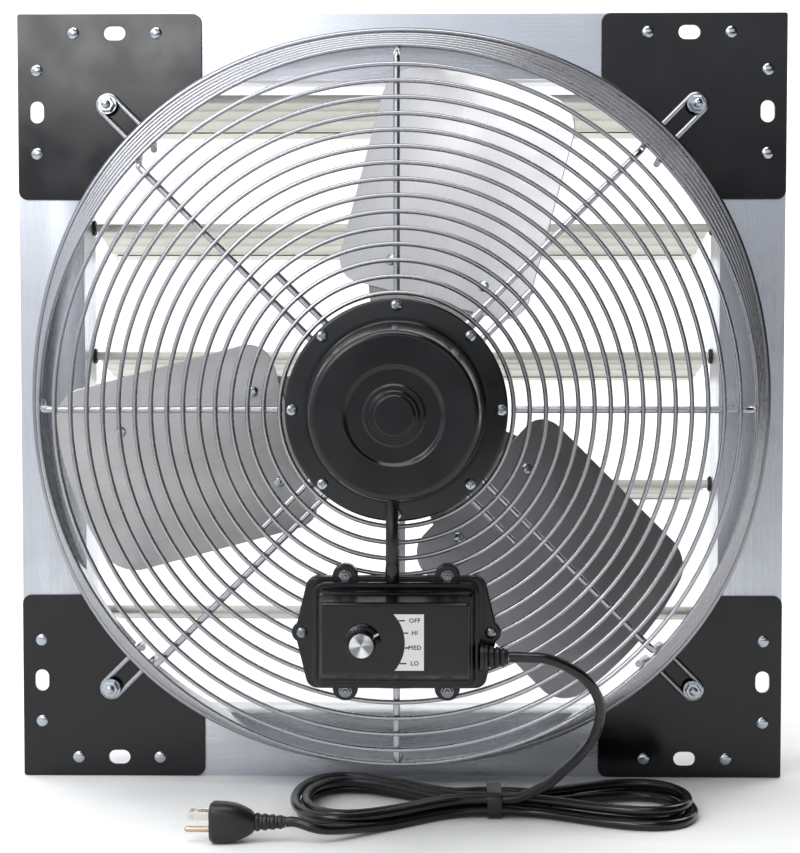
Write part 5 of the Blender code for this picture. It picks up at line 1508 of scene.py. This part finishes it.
def build_cord(size):
    """Motor lead, cord grip, and the supply cord with its tied hank and its plug."""
    jacket = finish("vinyl_jacket")
    path = cord_path(size)
    plug_pieces = build_plug(size)

    slack = 0.002
    near = HANK_WAIST + size.cord / 2 + slack
    far = HANK_WAIST - size.step / 2 + size.cord / 2 + slack
    low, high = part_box("cord_tie")
    loops = []
    for x, grow in ((-1, 0), (1, 0), (1, 0.75), (0.8, 1), (-0.8, 1), (-1, 0.75)):
        wall = grow * size.band_sheet
        inner_low, inner_high = low.z + size.band_sheet, high.z - size.band_sheet
        outline = rounded_rectangle(near + far + 2 * wall, inner_high - inner_low + 2 * wall,
                                    size.cord / 2 + wall, 8,
                                    (HANK_MIDDLE[1] + (far - near) / 2, (inner_high + inner_low) / 2))
        loops.append([(HANK_MIDDLE[0] + x * size.band / 2, y, z) for y, z in outline])
    tie = dress("hank_tie", loft(loops, closed=True), finish("moulded_plug"), HOUSING, "cord_tie",
                slot="cord_jacket")

    curve = line_curve("supply_cord", path, size.cord, 4)
    cord = bpy.data.objects.new("supply_cord", curve)
    bpy.context.scene.collection.objects.link(cord)
    curve.materials.append(jacket)
    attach(cord, HOUSING)
    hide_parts("power_cord", "cord_hank")
    run = sum((after - before).length for before, after in zip(path, path[1:]))

    end = right_end("cord_grip")
    at = Matrix.Translation((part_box("cord_grip")[0].x, end.y, end.z))
    steps = 5
    profile = [(0, 0), (size.grip, 0), (size.grip, 0.0026)]
    pitch = size.grip_length / steps
    for k in range(1, steps):
        crest = size.grip + (size.grip_end - size.grip) * pitch * k / size.grip_length
        profile += steps_from((crest, pitch * k), (-12, -16), (-12, -12), (0, -8), (-2, 12), (-12, 18))
    profile += steps_from((size.grip_end, size.grip_length), (-10, -6), (-16, 0)) + [(0, size.grip_length)]
    dress("cord_relief", moved(spun(profile, 64), at @ ABOUT_Z), finish("moulded_plug"), HOUSING, "cord_grip",
          slot="cord_jacket")

    low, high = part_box("motor_lead")
    x = (low.x + high.x) / 2
    depth = -high.y + size.lead / 2
    run = high.z - low.z
    bow = (high.y - low.y) - size.lead
    points, radii = [], []
    steps = 48
    for k in range(steps + 1):
        share = k / steps
        swell = 0.5 - 0.5 * math.cos(math.tau * share)
        points.append((x, -depth - bow * swell, high.z - run * share))
        collar = max(0.0, 1 - abs(share - 0.90) / 0.10) ** 0.5
        radii.append(0.90 + 0.10 * collar)
    dress("lead_sleeve", tube(points, size.lead, 6, radii), jacket, HOUSING, "motor_lead", slot="cord_jacket")


def plug_section(x, depth, height, power, sides=48):
    """A rounded section across the plug: a higher power makes it squarer."""
    loop = []
    for k in range(sides):
        c, s = math.cos(math.tau * k / sides), math.sin(math.tau * k / sides)
        y = math.copysign(abs(c) ** (2 / power), c) * depth / 2
        z = math.copysign(abs(s) ** (2 / power), s) * height / 2
        loop.append((x, y, z))
    return loop


def build_plug(size):
    """Moulded plug with a ribbed relief, two drilled blades and a round earth pin."""
    low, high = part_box("plug_body")
    at = Matrix.Translation((0, (low.y + high.y) / 2, (low.z + high.z) / 2))
    deep, tall = high.y - low.y, high.z - low.z
    body, relief = 0.036, 0.024
    loops = []
    for share, scale, power in ((0, 0.84, 3.5), (0.02, 0.90, 3.5), (0.06, 0.95, 3.5), (0.07, 0.99, 3.5),
                                (0.12, 1, 3.5), (0.30, 0.99, 3.4), (0.42, 0.97, 3.2), (0.55, 0.93, 3),
                                (0.68, 0.85, 2.8), (0.80, 0.74, 2.5), (0.92, 0.60, 2.2)):
        loops.append(plug_section(low.x + body * share, deep * scale, tall * scale, power))
    ribs = 4
    pitch = relief / ribs
    for k in range(ribs):
        wide = size.cord * (1.75 - 0.14 * k)
        narrow = 0.84 * wide
        for share, across in ((0.02, narrow), (0.06, wide * 0.97), (0.12, wide), (0.48, wide),
                              (0.56, wide * 0.97), (0.62, narrow), (0.95, narrow)):
            loops.append(plug_section(low.x + body + pitch * (k + share), across, across, 2))
    loops.append(plug_section(high.x, size.cord, size.cord, 2))
    pieces = [dress("plug_grip", moved(loft(loops, sharp=30), at), finish("moulded_plug"), HOUSING,
                    "plug_body", slot="plug_black")]
    for name in ("near", "far"):
        low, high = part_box(f"plug_blade_{name}")
        run, tall = high.x - low.x, high.z - low.z
        half, slant = tall / 2, 0.0022
        tip = [(-run, -half + slant), (-run + slant, -half), (0, -half), (0, half), (-run + slant, half),
               (-run, half - slant)]
        hole_in, hole_radius = 0.0117, 0.0016
        hole = arc((-hole_in, 0), hole_radius, 0, 345, 23)
        blade = sheet_plate([tip, hole], 0, high.y - low.y, edge=0.0002)
        blade.transform(Matrix.Translation((high.x, high.y, (low.z + high.z) / 2)))
        pieces.append(dress(f"flat_prong_{name}", blade, finish("nickel_plate"), HOUSING,
                            f"plug_blade_{name}", slot="nickel"))
    low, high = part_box("plug_ground_pin")
    radius = (high.z - low.z) / 2
    run = high.x - low.x
    profile = [(0, 0), (radius, 0), (radius, run - radius), *arc((0, run - radius), radius, 0, 90, 10)[1:]]
    pin = moved(spun(profile, 40), Matrix.Translation(right_end("plug_ground_pin")) @ ABOUT_Z.inverted())
    pieces.append(dress("round_prong", pin, finish("pin_brass"), HOUSING, "plug_ground_pin", slot="nickel"))
    return pieces


# Operators

class FAN_OT_stage(Operator):
    """Make the paper, the lights and the camera"""
    bl_idname = "fan.stage"
    bl_label = "Stage"

    def execute(self, context):
        build_stage(context.scene.fan_stage)
        return {"FINISHED"}


class FAN_OT_cord(Operator):
    """Make the motor lead, the supply cord, its hank and its plug"""
    bl_idname = "fan.cord"
    bl_label = "Cord and plug"

    def execute(self, context):
        build_cord(context.scene.fan_cord)
        return {"FINISHED"}


class FAN_OT_frame(Operator):
    """Make the frame, its corner plates and the ring"""
    bl_idname = "fan.frame"
    bl_label = "Frame"

    def execute(self, context):
        build_frame(context.scene.fan_frame, context.scene.fan_shutter)
        return {"FINISHED"}


class FAN_OT_guard(Operator):
    """Make the wire guard"""
    bl_idname = "fan.guard"
    bl_label = "Guard"

    def execute(self, context):
        build_guard(context.scene.fan_guard)
        return {"FINISHED"}


class FAN_OT_struts(Operator):
    """Make the rods that carry the motor"""
    bl_idname = "fan.struts"
    bl_label = "Struts"

    def execute(self, context):
        scene = context.scene
        build_struts(scene.fan_guard, scene.fan_frame, scene.fan_motor)
        return {"FINISHED"}


class FAN_OT_motor(Operator):
    """Make the motor and its screws"""
    bl_idname = "fan.motor"
    bl_label = "Motor"

    def execute(self, context):
        build_motor(context.scene.fan_motor)
        return {"FINISHED"}


class FAN_OT_wheel(Operator):
    """Make the blades and their spider"""
    bl_idname = "fan.wheel"
    bl_label = "Wheel"

    def execute(self, context):
        build_wheel(context.scene.fan_wheel)
        return {"FINISHED"}


class FAN_OT_shutter(Operator):
    """Make the slats, their bushes and the tie bar"""
    bl_idname = "fan.shutter"
    bl_label = "Shutter"

    def execute(self, context):
        build_shutter(context.scene.fan_shutter, context.scene.fan_frame)
        return {"FINISHED"}


class FAN_OT_box(Operator):
    """Make the speed control box, its knob and its dial"""
    bl_idname = "fan.box"
    bl_label = "Speed control"

    def execute(self, context):
        build_box(context.scene.fan_box)
        return {"FINISHED"}


STEPS = (FAN_OT_stage, FAN_OT_cord, FAN_OT_frame, FAN_OT_guard, FAN_OT_struts, FAN_OT_motor, FAN_OT_wheel,
         FAN_OT_shutter, FAN_OT_box)
GROUPS = {
    "fan_stage": StageSettings,
    "fan_cord": CordSizes,
    "fan_frame": FrameSizes,
    "fan_guard": GuardSizes,
    "fan_motor": MotorSizes,
    "fan_wheel": WheelSizes,
    "fan_shutter": ShutterSizes,
    "fan_box": BoxSizes,
    "fan_finishes": Finishes,
}


class FAN_PT_panel(Panel):
    bl_idname = "FAN_PT_panel"
    bl_label = "Wall shutter fan"
    bl_space_type = "VIEW_3D"
    bl_region_type = "UI"
    bl_category = "Fan"

    def draw(self, context):
        for step in STEPS:
            self.layout.operator(step.bl_idname)
        for field in GROUPS:
            group = getattr(context.scene, field)
            box = self.layout.box()
            box.label(text=field.replace("fan_", "").capitalize())
            for name in group.__annotations__:
                box.prop(group, name)


CLASSES = (*GROUPS.values(), *STEPS, FAN_PT_panel)


def register():
    for item in CLASSES:
        bpy.utils.register_class(item)
    for field, group in GROUPS.items():
        setattr(bpy.types.Scene, field, PointerProperty(type=group))


def unregister():
    for field in GROUPS:
        delattr(bpy.types.Scene, field)
    for item in reversed(CLASSES):
        bpy.utils.unregister_class(item)


def main():
    register()
    for step in STEPS:
        getattr(bpy.ops.fan, step.bl_idname.split(".")[1])()


if __name__ == "__main__":
    main()
